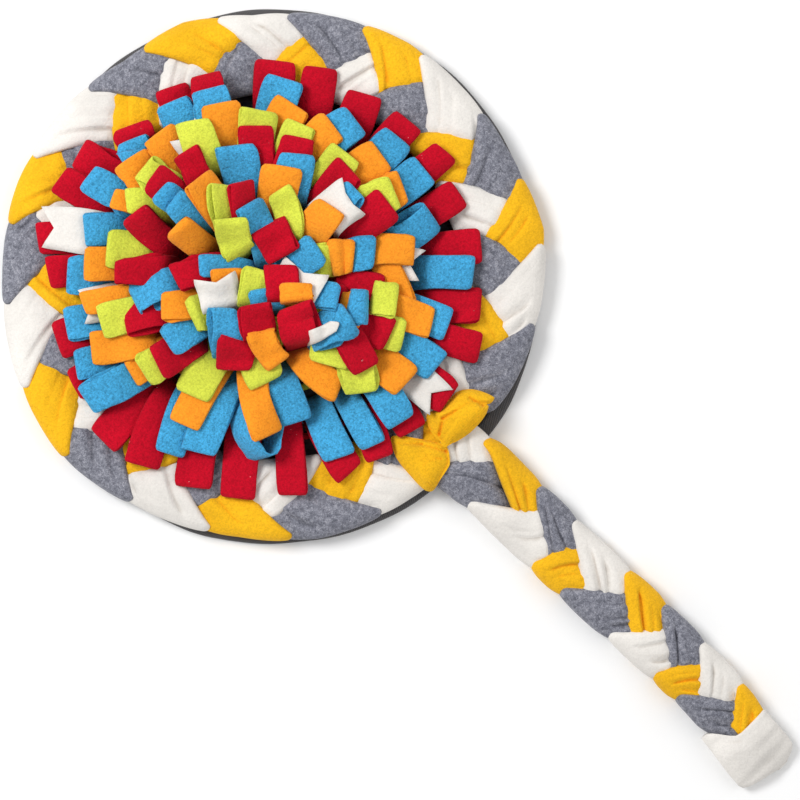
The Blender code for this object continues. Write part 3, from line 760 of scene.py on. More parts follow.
def tab_surface(row, rng, length=None):
    """Middle surface (13, ACROSS, 3) of a tab as it lies on what is under it."""
    line, direction = tab_plan(row)
    side = np.stack([-direction[:, 1], direction[:, 0]], 1)
    rows = len(line)
    t = np.linspace(0, 1, rows)
    tip_r = math.hypot(row["x"] - PILE_X, row["y"] - PILE_Y)
    top = np.interp(tip_r, DOME_OUT, DOME_UP) + row.get("up", 0.0) + rng.uniform(-1.2, 1.2)
    low = 5.0
    bend = np.interp(row["ring"], [1, 2, 3, 5, 8, 10], [2.0, 2.8, 4.0, 5.6, 6.6, 7.0])
    z = low + (top - low) * (1 - (1 - t) ** bend)
    droop = row.get("droop", 0.0) + rng.uniform(0.0, 2.0)
    z = z - droop * np.clip((t - 0.6) / 0.4, 0, 1) ** 2
    lean = row.get("roll", 0.0) + float(np.clip(rng.normal(0, 8.5), -17, 17)) * (0.4 if row.get("eye") else 1.0)
    roll = math.radians(lean) * smooth((t - 0.15) / 0.7) + math.radians(rng.uniform(-7, 7)) * t**2
    half = row["wide"] / 2
    v = np.linspace(-1, 1, ACROSS)
    edge = 1 + 0.03 * np.sin(t * 5 + rng.uniform(0, 6))[:, None] - 0.035 * (t[:, None] > 0.99)
    width = half * edge * v[None, :]
    arch = rng.uniform(0.4, 2.6) * (1 if rng.uniform() < 0.8 else -0.7)
    skew = rng.uniform(-1.6, 1.6)
    up = width * np.sin(roll)[:, None] - arch * (v[None, :] ** 2) * smooth(t)[:, None]
    across = width * np.cos(roll)[:, None]
    mid = np.zeros((rows, ACROSS, 3))
    slip = skew * v[None, :] * (t**2)[:, None]
    mid[:, :, 0] = line[:, None, 0] + side[:, None, 0] * across + direction[:, None, 0] * slip
    mid[:, :, 1] = line[:, None, 1] + side[:, None, 1] * across + direction[:, None, 1] * slip
    mid[:, :, 2] = z[:, None] + up
    wave = waves(int(rng.integers(1, 1 << 30)), 5, 16, 42)
    mid[:, :, 2] += 1.0 * wave(mid[:, :, 0], mid[:, :, 1]) * smooth(t)[:, None]
    return mid


def settle(mid, clear, sink=0.0):
    """Raises the surface where it would cut into what already lies there, smoothly."""
    for step in range(4):
        fine = resample(mid, 25, 13)
        need = GROUND.under(fine[:, :, 0], fine[:, :, 1]) + clear - sink - fine[:, :, 2]
        need = np.maximum(need, 0.0)[::2, ::2]
        need[:4] = 0.0
        if need.max() < 0.15:
            break
        lift = need.copy()
        for _ in range(7):
            spread = lift.copy()
            spread[1:] = np.maximum(spread[1:], lift[:-1] * 0.72)
            spread[:-1] = np.maximum(spread[:-1], lift[1:] * 0.80)
            spread[:, 1:] = np.maximum(spread[:, 1:], lift[:, :-1] * 0.86)
            spread[:, :-1] = np.maximum(spread[:, :-1], lift[:, 1:] * 0.86)
            lift = spread
        for _ in range(2):
            soft = lift.copy()
            soft[1:-1] = (lift[:-2] + 2 * lift[1:-1] + lift[2:]) / 4
            soft[:, 1:-1] = (soft[:, :-2] + 2 * soft[:, 1:-1] + soft[:, 2:]) / 4
            lift = np.maximum(soft, need * 0.9)
        fade = np.minimum(1.0, np.arange(lift.shape[0]) / 3.0)[:, None]
        mid[:, :, 2] += lift * fade
    return mid


def normals(mid):
    du = np.gradient(mid, axis=0)
    dv = np.gradient(mid, axis=1)
    n = unit(np.cross(du, dv))
    return np.where(n[..., 2:3] < 0, -n, n) if (n[..., 2] < 0).mean() > 0.5 else n


def loop_skin(mid, eye, thick, rng):
    """Sections of the folded strip: out along the lower layer, round the fold, back along the upper one."""
    rows, cols, _ = mid.shape
    n = normals(mid)
    ahead = unit(np.gradient(mid, axis=0))
    sideways = unit(np.gradient(mid, axis=1))
    t = np.linspace(0, 1, rows)
    shut = thick / 2 + 0.35
    tip_round = max(rng.uniform(1.7, 2.9), shut)
    e = shut + (tip_round - shut) * np.clip((t - 0.70) / 0.30, 0, 1) ** 1.5
    if eye > 0:
        e = shut + (eye / 2 + thick / 2 - shut) * np.sin(math.pi * np.clip((t - 0.2) / 0.95, 0, 1)) ** 0.8
    sections = []

    def section(center, out, width_dir):
        half = thick / 2
        pinch = np.ones(cols)
        pinch[0] = pinch[-1] = 0.72
        outer = center + out * (half * pinch)[:, None]
        inner = (center - out * (half * pinch)[:, None])[::-1]
        right = center[-1] + width_dir[-1] * 0.75
        left = center[0] - width_dir[0] * 0.75
        return np.concatenate([outer, right[None], inner, left[None]])

    for k in range(rows):
        sections.append(section(mid[k] - n[k] * e[k], -n[k], sideways[k]))
    last, radius = mid[-1], e[-1]
    for degrees in (-54, -18, 18, 54):
        a = math.radians(degrees)
        out = ahead[-1] * math.cos(a) + n[-1] * math.sin(a)
        narrow = 1 - 0.05 * math.cos(a)
        middle_of = last[cols // 2]
        sections.append(section(middle_of + (last - middle_of) * narrow + out * radius, out, sideways[-1]))
    for k in range(rows - 1, -1, -1):
        sections.append(section(mid[k] + n[k] * e[k], n[k], sideways[k]))
    return np.array(sections), mid + n * (e + thick / 2)[:, None, None]


def rolled_surface(row, rng):
    """Middle surface of a loop that lies on its side: its width stands up, so it shows its edges."""
    mid = tab_surface({**row, "roll": 0.0}, np.random.default_rng(int(rng.integers(1 << 30))))
    line, direction = tab_plan(row)
    side = np.stack([-direction[:, 1], direction[:, 0], np.zeros(len(line))], 1)
    t = np.linspace(0, 1, len(line))
    roll = math.radians(row["roll"]) * smooth((t - 0.1) / 0.5)
    v = np.linspace(-1, 1, ACROSS) * row["wide"] / 2
    center = mid[:, ACROSS // 2]
    up = np.array([0, 0, 1.0])
    surface = center[:, None, :] + v[None, :, None] * (np.cos(roll)[:, None, None] * side[:, None, :] + np.sin(roll)[:, None, None] * up)
    return surface


def make_tab_shape(row, seed, shape):
    rng = np.random.default_rng(seed)
    kind = row.get("kind", "")
    thick = CLOTH_T
    eye = row.get("eye", 0.0)
    if abs(row.get("roll", 0.0)) > 30:
        mid = rolled_surface(row, rng)
        fine = resample(mid, 25, 13)
        n = normals(fine)
        reach = eye / 2 + thick
        need = np.maximum(GROUND.under(fine[8:, :, 0], fine[8:, :, 1]) + 0.5 - fine[8:, :, 2], 0)
        lift = np.percentile(need, 72)
        mid[:, :, 2] += lift * smooth(np.linspace(0, 1, mid.shape[0]) / 0.5)[:, None]
    else:
        mid = tab_surface(row, rng)
        mid = settle(mid, thick + 0.5 + eye / 2)
    skin, top = loop_skin(mid, eye, thick, rng)
    shape.tube(skin)
    GROUND.cover(top)
    return shape


def make_crown_shape(row, seed, shape):
    """A single white strip with a zigzag end."""
    rng = np.random.default_rng(seed)
    points = row["points"]
    mid = tab_surface(row, rng)
    mid = settle(mid, CLOTH_T / 2 + 0.4)
    cols = 6 * max(points - 1, 1) + 1
    rows = 21
    fine = resample(mid, 49, cols)
    v = np.linspace(0, points - 1, cols)
    saw = 1 - np.abs((v % 1.0) - 0.5) * 2           # 0 at a tip, 1 at the bottom of a cut
    if points == 1:
        saw = np.abs(np.linspace(-1, 1, cols)) ** 1.3
    total = np.linalg.norm(np.diff(fine[:, cols // 2], axis=0), axis=1).sum()
    cut = row.get("crown", 11.0) * saw
    ends = 1 - cut / total
    half = CLOTH_T / 2
    n = normals(fine)
    top, bottom = [], []
    for k in range(rows):
        share = k / (rows - 1)
        at = share * ends * (fine.shape[0] - 1)
        i = np.clip(at.astype(int), 0, fine.shape[0] - 2)
        f = (at - i)[:, None]
        c = np.arange(cols)
        p = fine[i, c] * (1 - f) + fine[i + 1, c] * f
        q = n[i, c]
        thin = half * min(1.0, 0.35 + (rows - 1 - k) * 0.45)
        thin = np.full(cols, thin)
        thin[0] *= 0.6
        thin[-1] *= 0.6
        top.append(p + q * thin[:, None])
        bottom.append(p - q * thin[:, None])
    top, bottom = np.array(top), np.array(bottom)
    sections = np.concatenate([top, bottom[:, ::-1]], 1)
    shape.tube(sections)
    GROUND.cover(top)
    return shape


def band(shape, ring):
    """The sewn-down band that a ring's loops stand on."""
    r = RINGS[ring]["base"]
    around = max(24, int(r * 0.9))
    sections = []
    for k in range(around):
        a = 2 * math.pi * k / around
        sections.append([(PILE_X + (r + o) * math.cos(a), PILE_Y + (r + o) * math.sin(a), z)
                         for o, z in ((-2.6, 2.9), (2.6, 2.9), (2.7, 4.0), (2.2, 5.0), (-2.2, 5.0), (-2.7, 4.0))])
    shape.tube(np.array(sections), closed=True)


COLUMNS = ("order", "ring", "x", "y", "turn", "wide", "roll", "eye", "up", "long", "node")

# Every loop of the pile: its ring, the middle of its tip, which way it points, its width, how far it is rolled
# on its side, how wide it stands open, how much it is raised, and the CAD node it stands for if it has one of its own.
# In one ring, a later row lies over an earlier one.
TABS = [
    (0.90, 1, -175.2, 4.1, -176, 25.6, 0, 0.0, 0.0, 64, ""),
    (0.90, 1, -103.9, 143.9, 137, 23.3, 0, 0.0, 0.0, 0, ""),
    (0.90, 1, 2.1, 151.8, 59, 28.5, -15, 8.0, 2.0, 16, ""),
    (0.95, 1, -161.7, 47.6, 164, 23.5, 0, 0.0, 0.0, 0, ""),
    (1.00, 1, 111.9, 111.2, 39, 28.5, 0, 0.0, 0.0, 0, ""),
    (1.00, 1, 132.4, 84.3, 37, 24.8, 0, 0.0, 0.0, 0, ""),
    (1.00, 1, 141.4, 47.4, 27, 26.5, 0, 0.0, 0.0, 0, ""),
    (1.00, 1, 150.7, 11.2, 1, 23.9, 0, 0.0, 0.0, 0, ""),
    (1.00, 1, 153.6, -24.4, -4, 22.4, 0, 0.0, 0.0, 0, ""),
    (1.00, 1, 139.0, -53.2, -11, 22.5, 0, 0.0, 0.0, 0, ""),
    (1.00, 1, 122.7, -91.2, -39, 25.4, 0, 0.0, 0.0, 0, ""),
    (1.00, 1, 91.3, -122.6, -42, 26.8, 0, 0.0, 0.0, 0, ""),
    (1.00, 1, 26.9, -154.2, -85, 27.5, 0, 0.0, 0.0, 0, ""),
    (1.00, 1, -8.4, -152.1, -104, 22.6, 0, 0.0, 0.0, 0, ""),
    (1.00, 1, -104.7, -123.3, -132, 20.9, 0, 0.0, 0.0, 70, ""),
    (1.00, 1, -135.6, -96.2, -139, 25.7, 0, 0.0, 0.0, 70, ""),
    (1.00, 1, -153.0, -66.6, -140, 26.9, 0, 0.0, 0.0, 0, ""),
    (1.00, 1, -168.9, -28.6, -151, 26.7, 0, 0.0, 0.0, 64, ""),
    (1.00, 1, -147.2, 79.5, 156, 27.3, 0, 0.0, 0.0, 0, ""),
    (1.00, 1, -116.1, 120.2, 140, 23.2, 0, 0.0, 0.0, 0, ""),
    (1.00, 1, -37.2, 164.8, 106, 25.7, -22, 8.0, 0.0, 0, ""),
    (1.00, 1, 43.5, 152.1, 65, 24.9, 0, 0.0, 0.0, 0, ""),
    (1.10, 1, 68.6, -144.2, -59, 22.2, 0, 0.0, 0.0, 0, ""),
    (1.10, 1, -39.3, -149.7, -119, 21.4, 0, 0.0, 0.0, 0, ""),
    (1.10, 1, -62.0, 162.6, 104, 23.5, 0, 0.0, 0.0, 0, ""),
    (1.20, 1, -64.4, -141.0, -101, 23.3, 0, 0.0, 0.0, 0, ""),
    (1.20, 1, 68.1, 139.2, 52, 25.1, -28, 9.0, 0.0, 0, ""),
    (1.90, 2, 110.5, -50.5, -10, 26.0, 34, 11.0, 0.0, 0, ""),
    (1.90, 2, -5.3, 143.9, 59, 25.1, -8, 7.0, 0.0, 18, "open_loop_02"),
    (1.95, 2, 64.9, -115.7, -68, 25.0, 0, 0.0, 0.0, 0, ""),
    (2.00, 2, 106.9, 97.2, 24, 28.5, 0, 0.0, 0.0, 0, ""),
    (2.00, 2, 120.8, 40.0, -11, 28.5, -29, 9.0, 0.0, 0, ""),
    (2.00, 2, 134.8, 8.0, 1, 26.0, 0, 7.0, 0.0, 0, "open_loop_01"),
    (2.00, 2, 133.0, -22.8, -6, 25.5, 0, 0.0, 0.0, 0, ""),
    (2.00, 2, 104.5, -100.9, -47, 24.1, 0, 0.0, 0.0, 0, ""),
    (2.00, 2, 37.5, -131.5, -79, 24.7, 0, 0.0, 0.0, 0, ""),
    (2.00, 2, -60.9, -128.1, -109, 23.1, 0, 0.0, 0.0, 0, ""),
    (2.00, 2, -147.7, -37.1, -148, 21.4, 0, 0.0, 0.0, 64, ""),
    (2.00, 2, -134.0, 82.7, 145, 25.9, 0, 0.0, 0.0, 0, ""),
    (2.00, 2, -107.6, 108.0, 134, 27.1, 0, 0.0, 0.0, 0, ""),
    (2.00, 2, -74.9, 122.8, 142, 24.2, 0, 0.0, 0.0, 0, ""),
    (2.00, 2, -45.6, 146.8, 105, 21.9, -25, 8.0, 0.0, 0, ""),
    (2.00, 2, 36.9, 143.4, 69, 25.2, 0, 0.0, 0.0, 0, ""),
    (2.00, 2, 62.0, 129.4, 54, 28.2, -25, 8.0, 0.0, 0, ""),
    (2.05, 2, -96.6, -83.5, -120, 27.0, 56, 27.0, 0.0, 48, ""),
    (2.10, 2, -36.1, -139.4, -106, 18.6, 0, 4.0, 0.0, 0, ""),
    (2.10, 2, -131.4, -51.8, -156, 26.0, 0, 0.0, 0.0, 64, ""),
    (2.10, 2, -150.6, 56.1, 152, 21.1, 0, 0.0, 0.0, 0, ""),
    (2.20, 2, -9.8, -140.8, -107, 22.8, 0, 7.0, 3.0, 0, "open_loop_04"),
    (2.20, 2, -64.6, -86.9, -111, 22.3, 0, 3.0, 0.0, 0, ""),
    (2.20, 2, -162.3, 32.8, 160, 23.8, 0, 7.0, 0.0, 0, "open_loop_03"),
    (2.70, 3, 53.6, -80.6, -116, 20.0, 0, 0.0, 0.0, 0, ""),
    (3.00, 3, 60.4, 116.7, 54, 27.8, 0, 0.0, 0.0, 0, ""),
    (3.00, 3, 97.9, 80.3, 12, 28.5, 0, 0.0, 0.0, 0, ""),
    (3.00, 3, 106.9, 48.1, -10, 25.5, 0, 0.0, 0.0, 0, ""),
    (3.00, 3, 117.4, 8.0, -15, 26.9, 0, 0.0, 0.0, 0, ""),
    (3.00, 3, 111.6, -19.4, -17, 25.9, 0, 0.0, 0.0, 0, ""),
    (3.00, 3, 85.2, -59.0, -53, 22.2, 0, 0.0, 0.0, 0, ""),
    (3.00, 3, 56.7, -105.9, -65, 23.3, 0, 0.0, 0.0, 0, ""),
    (3.00, 3, -26.4, -90.9, -74, 21.1, 0, 0.0, 0.0, 0, ""),
    (3.00, 3, -124.5, -30.2, -161, 24.1, 0, 0.0, 0.0, 60, ""),
    (3.00, 3, -92.1, 103.6, 139, 24.7, 0, 0.0, 0.0, 0, ""),
    (3.00, 3, -43.0, 123.6, 123, 15.0, 18, 4.0, 0.0, 0, ""),
    (3.00, 3, -14.5, 135.2, 81, 27.1, 0, 0.0, 0.0, 0, ""),
    (3.10, 3, -124.8, 23.3, 170, 21.1, 0, 0.0, 0.0, 0, ""),
    (3.10, 3, -113.7, 84.6, 144, 18.4, 25, 5.0, 0.0, 0, ""),
    (3.20, 3, 12.9, -123.3, -83, 26.2, 0, 0.0, 0.0, 0, ""),
    (3.20, 3, -87.1, -78.8, -112, 22.1, 0, 0.0, 0.0, 64, ""),
    (3.20, 3, 12.9, 133.6, 84, 25.1, 0, 0.0, 0.0, 0, ""),
    (3.30, 3, -133.5, 56.9, 138, 24.2, 0, 0.0, 0.0, 56, ""),
    (4.00, 4, 76.5, 93.3, 38, 26.5, 0, 0.0, 0.0, 0, ""),
    (4.00, 4, 91.3, 64.8, 21, 23.8, 0, 0.0, 0.0, 0, ""),
    (4.00, 4, 99.7, 26.2, 7, 26.7, 0, 0.0, 0.0, 0, ""),
    (4.00, 4, 104.0, -18.1, -30, 24.5, 0, 7.0, 0.0, 0, "open_loop_05"),
    (4.00, 4, 34.6, -97.5, -57, 24.3, 0, 0.0, 0.0, 16, ""),
    (4.00, 4, -14.0, -104.9, -130, 26.3, 0, 7.0, 0.0, 0, "open_loop_08"),
    (4.00, 4, -59.9, -49.5, -114, 28.5, 0, 0.0, 0.0, 0, ""),
    (4.00, 4, -116.9, 17.5, 173, 22.8, 0, 7.0, 0.0, 18, "open_loop_07"),
    (4.00, 4, -72.8, 100.6, 133, 27.1, 0, 0.0, 0.0, 0, ""),
    (4.00, 4, -36.7, 114.6, 134, 18.7, 20, 5.0, 0.0, 0, ""),
    (4.00, 4, -12.1, 121.8, 101, 21.4, 0, 7.0, 0.0, 0, "open_loop_06"),
    (4.10, 4, -16.9, -74.5, -149, 28.5, 0, 0.0, 0.0, 0, ""),
    (4.10, 4, -113.7, 65.6, 149, 24.9, 0, 0.0, 0.0, 0, ""),
    (4.10, 4, 37.2, 121.0, 60, 26.4, 0, 0.0, 0.0, 0, ""),
    (4.20, 4, -104.5, -19.1, -160, 26.6, 0, 0.0, 0.0, 0, ""),
    (5.00, 5, 66.8, 86.1, 46, 25.5, 0, 0.0, 0.0, 0, ""),
    (5.00, 5, 83.4, 58.4, 28, 23.7, 0, 0.0, 0.0, 0, ""),
    (5.00, 5, 92.6, 16.0, 3, 24.3, 0, 0.0, 0.0, 0, ""),
    (5.00, 5, 95.8, -22.0, -7, 26.5, 0, 0.0, 0.0, 50, ""),
    (5.00, 5, 49.1, -62.4, -56, 20.6, 0, 0.0, 0.0, 0, ""),
    (5.00, 5, 28.0, -89.3, -64, 25.1, 0, 0.0, 0.0, 0, ""),
    (5.00, 5, -0.3, -95.4, -111, 21.2, 0, 4.0, 0.0, 0, ""),
    (5.00, 5, -100.0, 52.9, 147, 26.0, 34, 7.0, 0.0, 0, ""),
    (5.00, 5, -12.1, 112.8, 95, 21.8, 0, 0.0, 0.0, 0, ""),
    (5.10, 5, -40.9, 104.1, 84, 21.5, 0, 0.0, 0.0, 0, ""),
    (5.20, 4, 49.1, -76.1, -56, 24.4, 0, 0.0, 0.0, 18, ""),
    (5.20, 5, -105.5, 14.6, 166, 25.2, 0, 0.0, 0.0, 0, ""),
    (5.20, 5, 18.2, 108.8, 68, 19.0, 0, 0.0, 0.0, 0, ""),
    (5.30, 5, -79.7, 83.2, 141, 22.1, -29, 7.0, 0.0, 0, ""),
    (6.00, 6, 45.9, 85.9, 58, 28.5, 0, 0.0, 0.0, 0, ""),
    (6.00, 6, 73.9, 50.0, 34, 26.2, 0, 0.0, 0.0, 0, ""),
    (6.00, 6, 84.4, 2.0, 8, 17.2, 0, 7.0, 0.0, 0, "open_loop_09"),
    (6.00, 6, 62.8, -39.2, -43, 24.0, 0, 0.0, 0.0, 19, ""),
    (6.00, 6, -83.4, 59.0, 162, 26.0, 33, 10.0, 0.0, 0, ""),
    (6.00, 6, -15.0, 100.9, 99, 19.3, 0, 0.0, 0.0, 0, ""),
    (6.10, 6, -87.9, 19.7, 171, 24.6, 29, 9.0, 0.0, 0, "open_loop_11"),
    (6.20, 6, -13.5, 88.2, 90, 19.5, 0, 7.0, 0.0, 0, "open_loop_10"),
    (7.00, 7, 59.9, 51.3, 32, 28.5, 0, 0.0, 0.0, 0, ""),
    (7.00, 7, 63.6, 5.4, 7, 24.7, -15, 4.0, 0.0, 0, ""),
    (7.00, 7, -73.9, 40.5, 139, 21.1, 0, 0.0, 0.0, 0, ""),
    (7.00, 7, -24.8, 74.3, 92, 19.9, 0, 0.0, 0.0, 0, ""),
    (7.00, 7, 9.8, 88.2, 79, 22.9, 0, 0.0, 0.0, 0, ""),
    (7.50, 9, -51.4, 49.2, 156, 22.7, 25, 5.0, 0.0, 0, ""),
    (8.00, 8, 17.7, 72.9, 48, 17.3, 0, 4.0, 0.0, 0, ""),
    (8.10, 8, 38.5, -22.3, -45, 24.0, 0, 0.0, 0.0, 0, ""),
    (8.10, 8, 5.0, -44.2, -60, 20.0, 0, 0.0, 0.0, 0, ""),
    (8.10, 9, 23.5, -48.9, -43, 20.0, 0, 0.0, 0.0, 12, ""),
    (8.20, 7, 23.7, -60.8, -34, 26.8, 0, 0.0, 0.0, 13, ""),
    (8.20, 8, -62.5, 20.7, 157, 26.5, 0, 0.0, 0.0, 15, ""),
    (8.40, 7, 49.9, -30.5, -48, 25.4, 0, 0.0, 0.0, 17, ""),
    (8.50, 6, 30.1, -64.5, -47, 25.5, 0, 0.0, 0.0, 13, ""),
    (8.50, 6, 15.0, -61.6, -12, 23.9, 0, 7.0, 0.0, 0, "open_loop_12"),
    (8.60, 8, 46.4, 40.0, 72, 19.0, 0, 0.0, 0.0, 44, ""),
    (8.90, 10, 20.3, -43.7, -56, 19.0, 0, 0.0, 0.0, 0, ""),
    (9.00, 9, 29.3, 64.5, 50, 17.6, 0, 0.0, 0.0, 0, ""),
    (9.00, 10, 34.3, -8.6, -7, 22.9, 0, 0.0, 0.0, 0, ""),
    (9.20, 10, -32.4, 42.3, 135, 16.5, 0, 0.0, 0.0, 40, ""),
    (9.40, 10, 23.0, 48.7, 73, 20.6, 0, 0.0, 0.0, 0, ""),
    (9.50, 7, -23.0, 26.5, 53, 23.0, 0, 0.0, 0.0, 0, ""),
    (9.70, 8, -6.9, 8.3, 36, 25.1, 0, 0.0, 0.0, 0, ""),
    (9.80, 10, -13.7, -4.9, 54, 23.9, 0, 0.0, 0.0, 15, ""),
    (9.90, 6, -47.0, 6.2, 51, 23.4, -25, 10.0, 0.0, 0, ""),
    (9.90, 9, 6.9, -0.1, 51, 24.7, 0, 0.0, 0.0, 0, ""),
    (10.00, 7, 5.3, -18.1, 49, 23.3, 0, 0.0, 0.0, 12, ""),
    (10.00, 8, -28.0, -30.7, 153, 20.0, 0, 0.0, 0.0, 12, ""),
    (10.10, 8, 5.3, 50.0, 48, 24.0, 0, 0.0, 0.0, 0, ""),
    (10.20, 9, 15.8, 7.8, -108, 27.0, 0, 0.0, 0.0, 0, ""),
    (10.20, 9, -27.4, -7.5, 53, 24.0, 0, 0.0, 0.0, 0, ""),
    (10.30, 5, -69.1, -27.0, -137, 26.2, 0, 0.0, 0.0, 24, ""),
    (10.50, 9, -6.9, -29.7, 58, 28.0, 28, 7.0, 0.0, 0, ""),
    (10.60, 7, -44.1, -45.8, -93, 19.7, 0, 0.0, 0.0, 0, ""),
]

# White strips with a zigzag end
CROWNS = [
    {"order": 1.50, "ring": 1, "x": -97.6, "y": 149.2, "turn": 131, "wide": 33.5, "roll": 0, "points": 2, "crown": 10.0, "up": 0.0, "node": "white_tab_01"},
    {"order": 1.60, "ring": 1, "x": 21.1, "y": -155.3, "turn": -88, "wide": 27.4, "roll": 0, "points": 2, "crown": 12.0, "up": 0.0, "node": "white_tab_02"},
    {"order": 2.90, "ring": 2, "x": -119.0, "y": 85.6, "turn": 146, "wide": 27.8, "roll": 0, "points": 2, "crown": 9.0, "up": 0.0, "node": "white_tab_03"},
    {"order": 3.50, "ring": 3, "x": 28.0, "y": 124.9, "turn": 84, "wide": 27.3, "roll": 0, "points": 2, "crown": 12.0, "up": 0.0, "node": "white_tab_04"},
    {"order": 2.60, "ring": 3, "x": 83.4, "y": -73.0, "turn": -54, "wide": 24.7, "roll": 0, "points": 2, "crown": 12.0, "up": 0.0, "node": "white_tab_05"},
    {"order": 6.50, "ring": 6, "x": 83.6, "y": -0.4, "turn": -12, "wide": 33.0, "roll": 0, "points": 2, "crown": 12.0, "up": 0.0, "node": "white_tab_06"},
    {"order": 9.60, "ring": 7, "x": -31.4, "y": 31.3, "turn": 60, "wide": 32.0, "roll": 0, "points": 2, "crown": 13.0, "up": 0.0, "node": "white_tab_07"},
    {"order": 13.00, "ring": 8, "x": 9.2, "y": -59.5, "turn": -12, "wide": 10.2, "roll": 35, "points": 1, "crown": 15.0, "up": 5.0, "node": "white_tab_08"},
    {"order": 9.30, "ring": 8, "x": 22.4, "y": -12.5, "turn": 18, "wide": 37.5, "roll": 0, "points": 2, "crown": 13.0, "up": 0.0, "node": "white_tab_09"},
]


def rows_of(table):
    return [dict(zip(COLUMNS, row)) for row in table]


PILE_UP, KNEE = 73.0, 34.0


def make_pile():
    tabs = rows_of(TABS)
    shapes, counts = {}, {}
    single = []
    order = sorted(tabs + [{**row, "crown_tab": True} for row in CROWNS], key=lambda row: row["order"])
    for number, row in enumerate(order):
        seed = 1000 + number
        if row.get("crown_tab"):
            single.append((row, make_crown_shape(row, seed, Shape())))
            continue
        if row["node"]:
            single.append((row, make_tab_shape(row, seed, Shape())))
            continue
        shape = shapes.setdefault(row["ring"], Shape())
        make_tab_shape(row, seed, shape)
        counts[row["ring"]] = counts.get(row["ring"], 0) + 1
    everything = list(shapes.values()) + [shape for _, shape in single]
    top = max(points[..., 2].max() for shape in everything for points in shape.points)
    share = min(1.0, (PILE_UP - KNEE) / (top - KNEE))
    print("PILE", round(float(top), 1), "share", round(float(share), 3))
    for shape in everything:
        for number, points in enumerate(shape.points):
            points = np.array(points, float)
            over = points[..., 2] - KNEE
            soft = 6.0
            eased = soft * np.logaddexp(0.0, over / soft)
            points[..., 2] = points[..., 2] - (1 - share) * eased
            shape.points[number] = points
    for row, shape in single:
        if row.get("crown_tab"):
            obj = shape.make("crown_" + row["node"], [WHITE])
            piece(obj, "fleece_white", row["node"])
        else:
            name = RINGS[row["ring"]]["color"]
            obj = shape.make("loop_" + row["node"], [CLOTH[name]])
            piece(obj, SLOT[name], row["node"])
    for ring, shape in sorted(shapes.items()):
        band(shape, ring)
        name = RINGS[ring]["color"]
        obj = shape.make("fringe_%02d_%s" % (ring, name), [CLOTH[name]])
        piece(obj, SLOT[name], "loop_ring_%02d_%s" % (ring, name))


make_backing()
make_binding()
for index, (name, (rim_turn, handle_turn)) in enumerate(STRANDS.items()):
    make_strand("rim", name, rim_turn, 11 + index, rim_world, (0.62 * 51.5, (21.1 if name == "yellow" else 21.6) * 51.5))
for index, (name, (rim_turn, handle_turn)) in enumerate(STRANDS.items()):
    make_strand("handle", name, handle_turn, 31 + index, handle_world, (HANDLE_FROM[name], {"white": 294.0, "yellow": 299.0, "grey": 293.0}[name]))
make_cuff()
make_fold("yellow_fold_lower", "knot_lower", "yellow", [(-24.1, -147.1), (-17.9, -151.6), (-11.6, -160.2), (-5.4, -168.8), (-0.8, -176.1), (0.6, -180.7), (-1.4, -186.0), (-6.6, -191.9), (-10.8, -193.6), (-20.1, -195.5), (-29.0, -197.7), (-32.9, -195.6), (-34.6, -189.2), (-33.9, -173.5), (-33.1, -165.3), (-30.5, -156.8)],
          8.6, [((-23.1, -153.8), (-11.2, -167.2), 2.6, 1.6), ((-11.2, -167.2), (-2.6, -183.2), 2.6, 1.6), ((-15.7, -176.1), (-9.0, -184.3), 1.0, 1.6), ((-26.8, -160.5), (-32.0, -188.0), 0.9, 2.4)], 92)
make_fold("yellow_fold_upper", "knot_upper", "yellow", [(5.9, -154.6), (9.5, -154.0), (17.7, -157.7), (27.9, -157.9), (36.3, -158.4), (43.3, -163.3), (48.2, -170.3), (51.6, -178.8), (51.3, -181.2), (47.3, -181.9), (42.5, -180.7), (32.0, -183.6), (17.1, -183.6), (8.2, -180.6), (0.7, -177.6), (-0.0, -174.6), (-0.0, -166.5), (2.1, -159.6)],
          9.5, [((23.8, -167.6), (13.4, -164.6), 4.0, 1.7), ((13.4, -164.6), (3.6, -171.0), 4.0, 1.7), ((38.7, -168.0), (40.0, -175.6), 3.4, 1.7), ((46.5, -180.6), (40.0, -175.6), 3.4, 1.7)], 91)
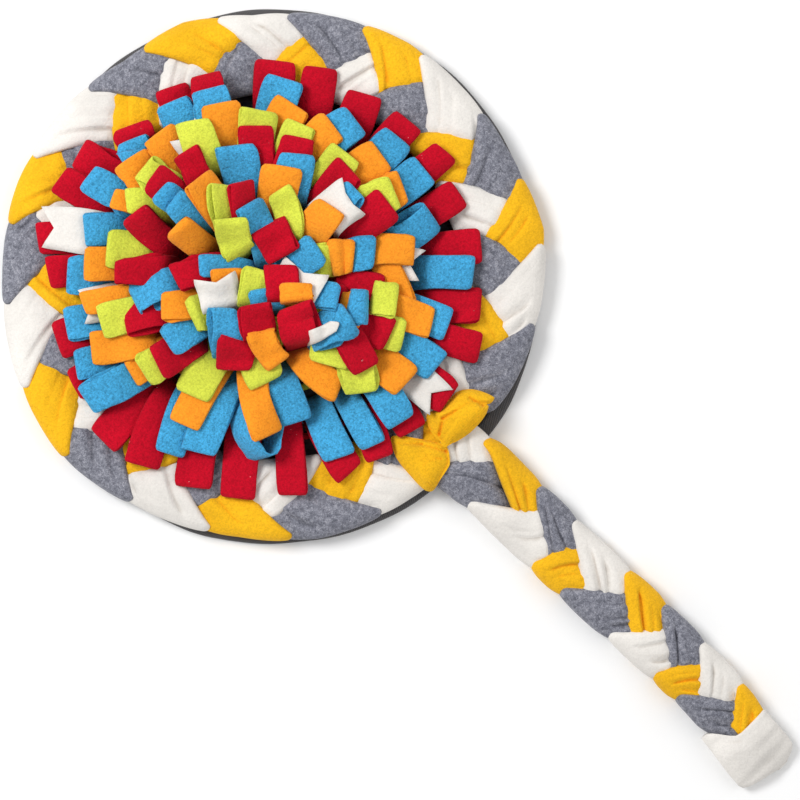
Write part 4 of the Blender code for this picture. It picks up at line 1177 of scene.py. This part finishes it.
make_fold("yellow_fold_front", "knot_upper", "yellow", [(-1.4, -178.2), (1.3, -173.8), (6.7, -170.2), (14.9, -167.9), (23.9, -167.8), (32.9, -169.3), (39.4, -173.2), (42.2, -178.6), (44.2, -182.1), (38.1, -185.2), (29.7, -186.5), (20.2, -186.4), (11.4, -184.8), (3.7, -182.1), (-0.5, -181.1)],
          4.6, [((39.6, -173.2), (41.6, -178.6), 3.0, 1.7), ((12.6, -182.1), (33.5, -182.1), 0.9, 2.6)], 95)
make_pile()

# ------------------------------------------------------------------ floor, light and camera
floor_material = bpy.data.materials.new("floor")
floor_material.use_nodes = True
floor_shader = floor_material.node_tree.nodes["Principled BSDF"]
floor_shader.inputs["Base Color"].default_value = (0.92, 0.92, 0.92, 1)
floor_shader.inputs["Roughness"].default_value = 0.9
floor_shader.inputs["Specular IOR Level"].default_value = 0.1
bpy.ops.mesh.primitive_plane_add(size=16, location=(0, 0, -0.0004))
floor = bpy.context.object
floor.name = "floor"
floor.data.materials.append(floor_material)

MIDDLE = Vector((0.0005, -0.132, 0.0))


def area_light(name, place, size, power, target=MIDDLE):
    data = bpy.data.lights.new(name, "AREA")
    data.shape = "DISK"
    data.size = size
    data.energy = power
    lamp = bpy.data.objects.new(name, data)
    lamp.location = place
    lamp.rotation_euler = (target - Vector(place)).to_track_quat("-Z", "Y").to_euler()
    bpy.context.scene.collection.objects.link(lamp)
    return lamp


# The photo's upper left is the +Y side here.
area_light("key", (-0.5, 1.5, 2.0), 1.1, 46)
area_light("fill", (1.6, -1.2, 1.8), 2.2, 12)
world = bpy.data.worlds.new("studio")
world.use_nodes = True
world.node_tree.nodes["Background"].inputs["Color"].default_value = (1, 1, 1, 1)
world.node_tree.nodes["Background"].inputs["Strength"].default_value = 0.60
bpy.context.scene.world = world
bpy.context.scene.view_settings.view_transform = "Standard"
bpy.context.scene.view_settings.look = "None"

CAMERA_UP = 4.0
camera_data = bpy.data.cameras.new("camera")
camera_data.sensor_width = 36.0
camera_data.lens = 36.0 * (CAMERA_UP - 0.02) / 0.600
camera_data.clip_end = 50
camera = bpy.data.objects.new("camera", camera_data)
camera.location = (MIDDLE.x, MIDDLE.y, CAMERA_UP)
camera.rotation_euler = (0, 0, math.radians(-45))
bpy.context.scene.collection.objects.link(camera)
bpy.context.scene.camera = camera
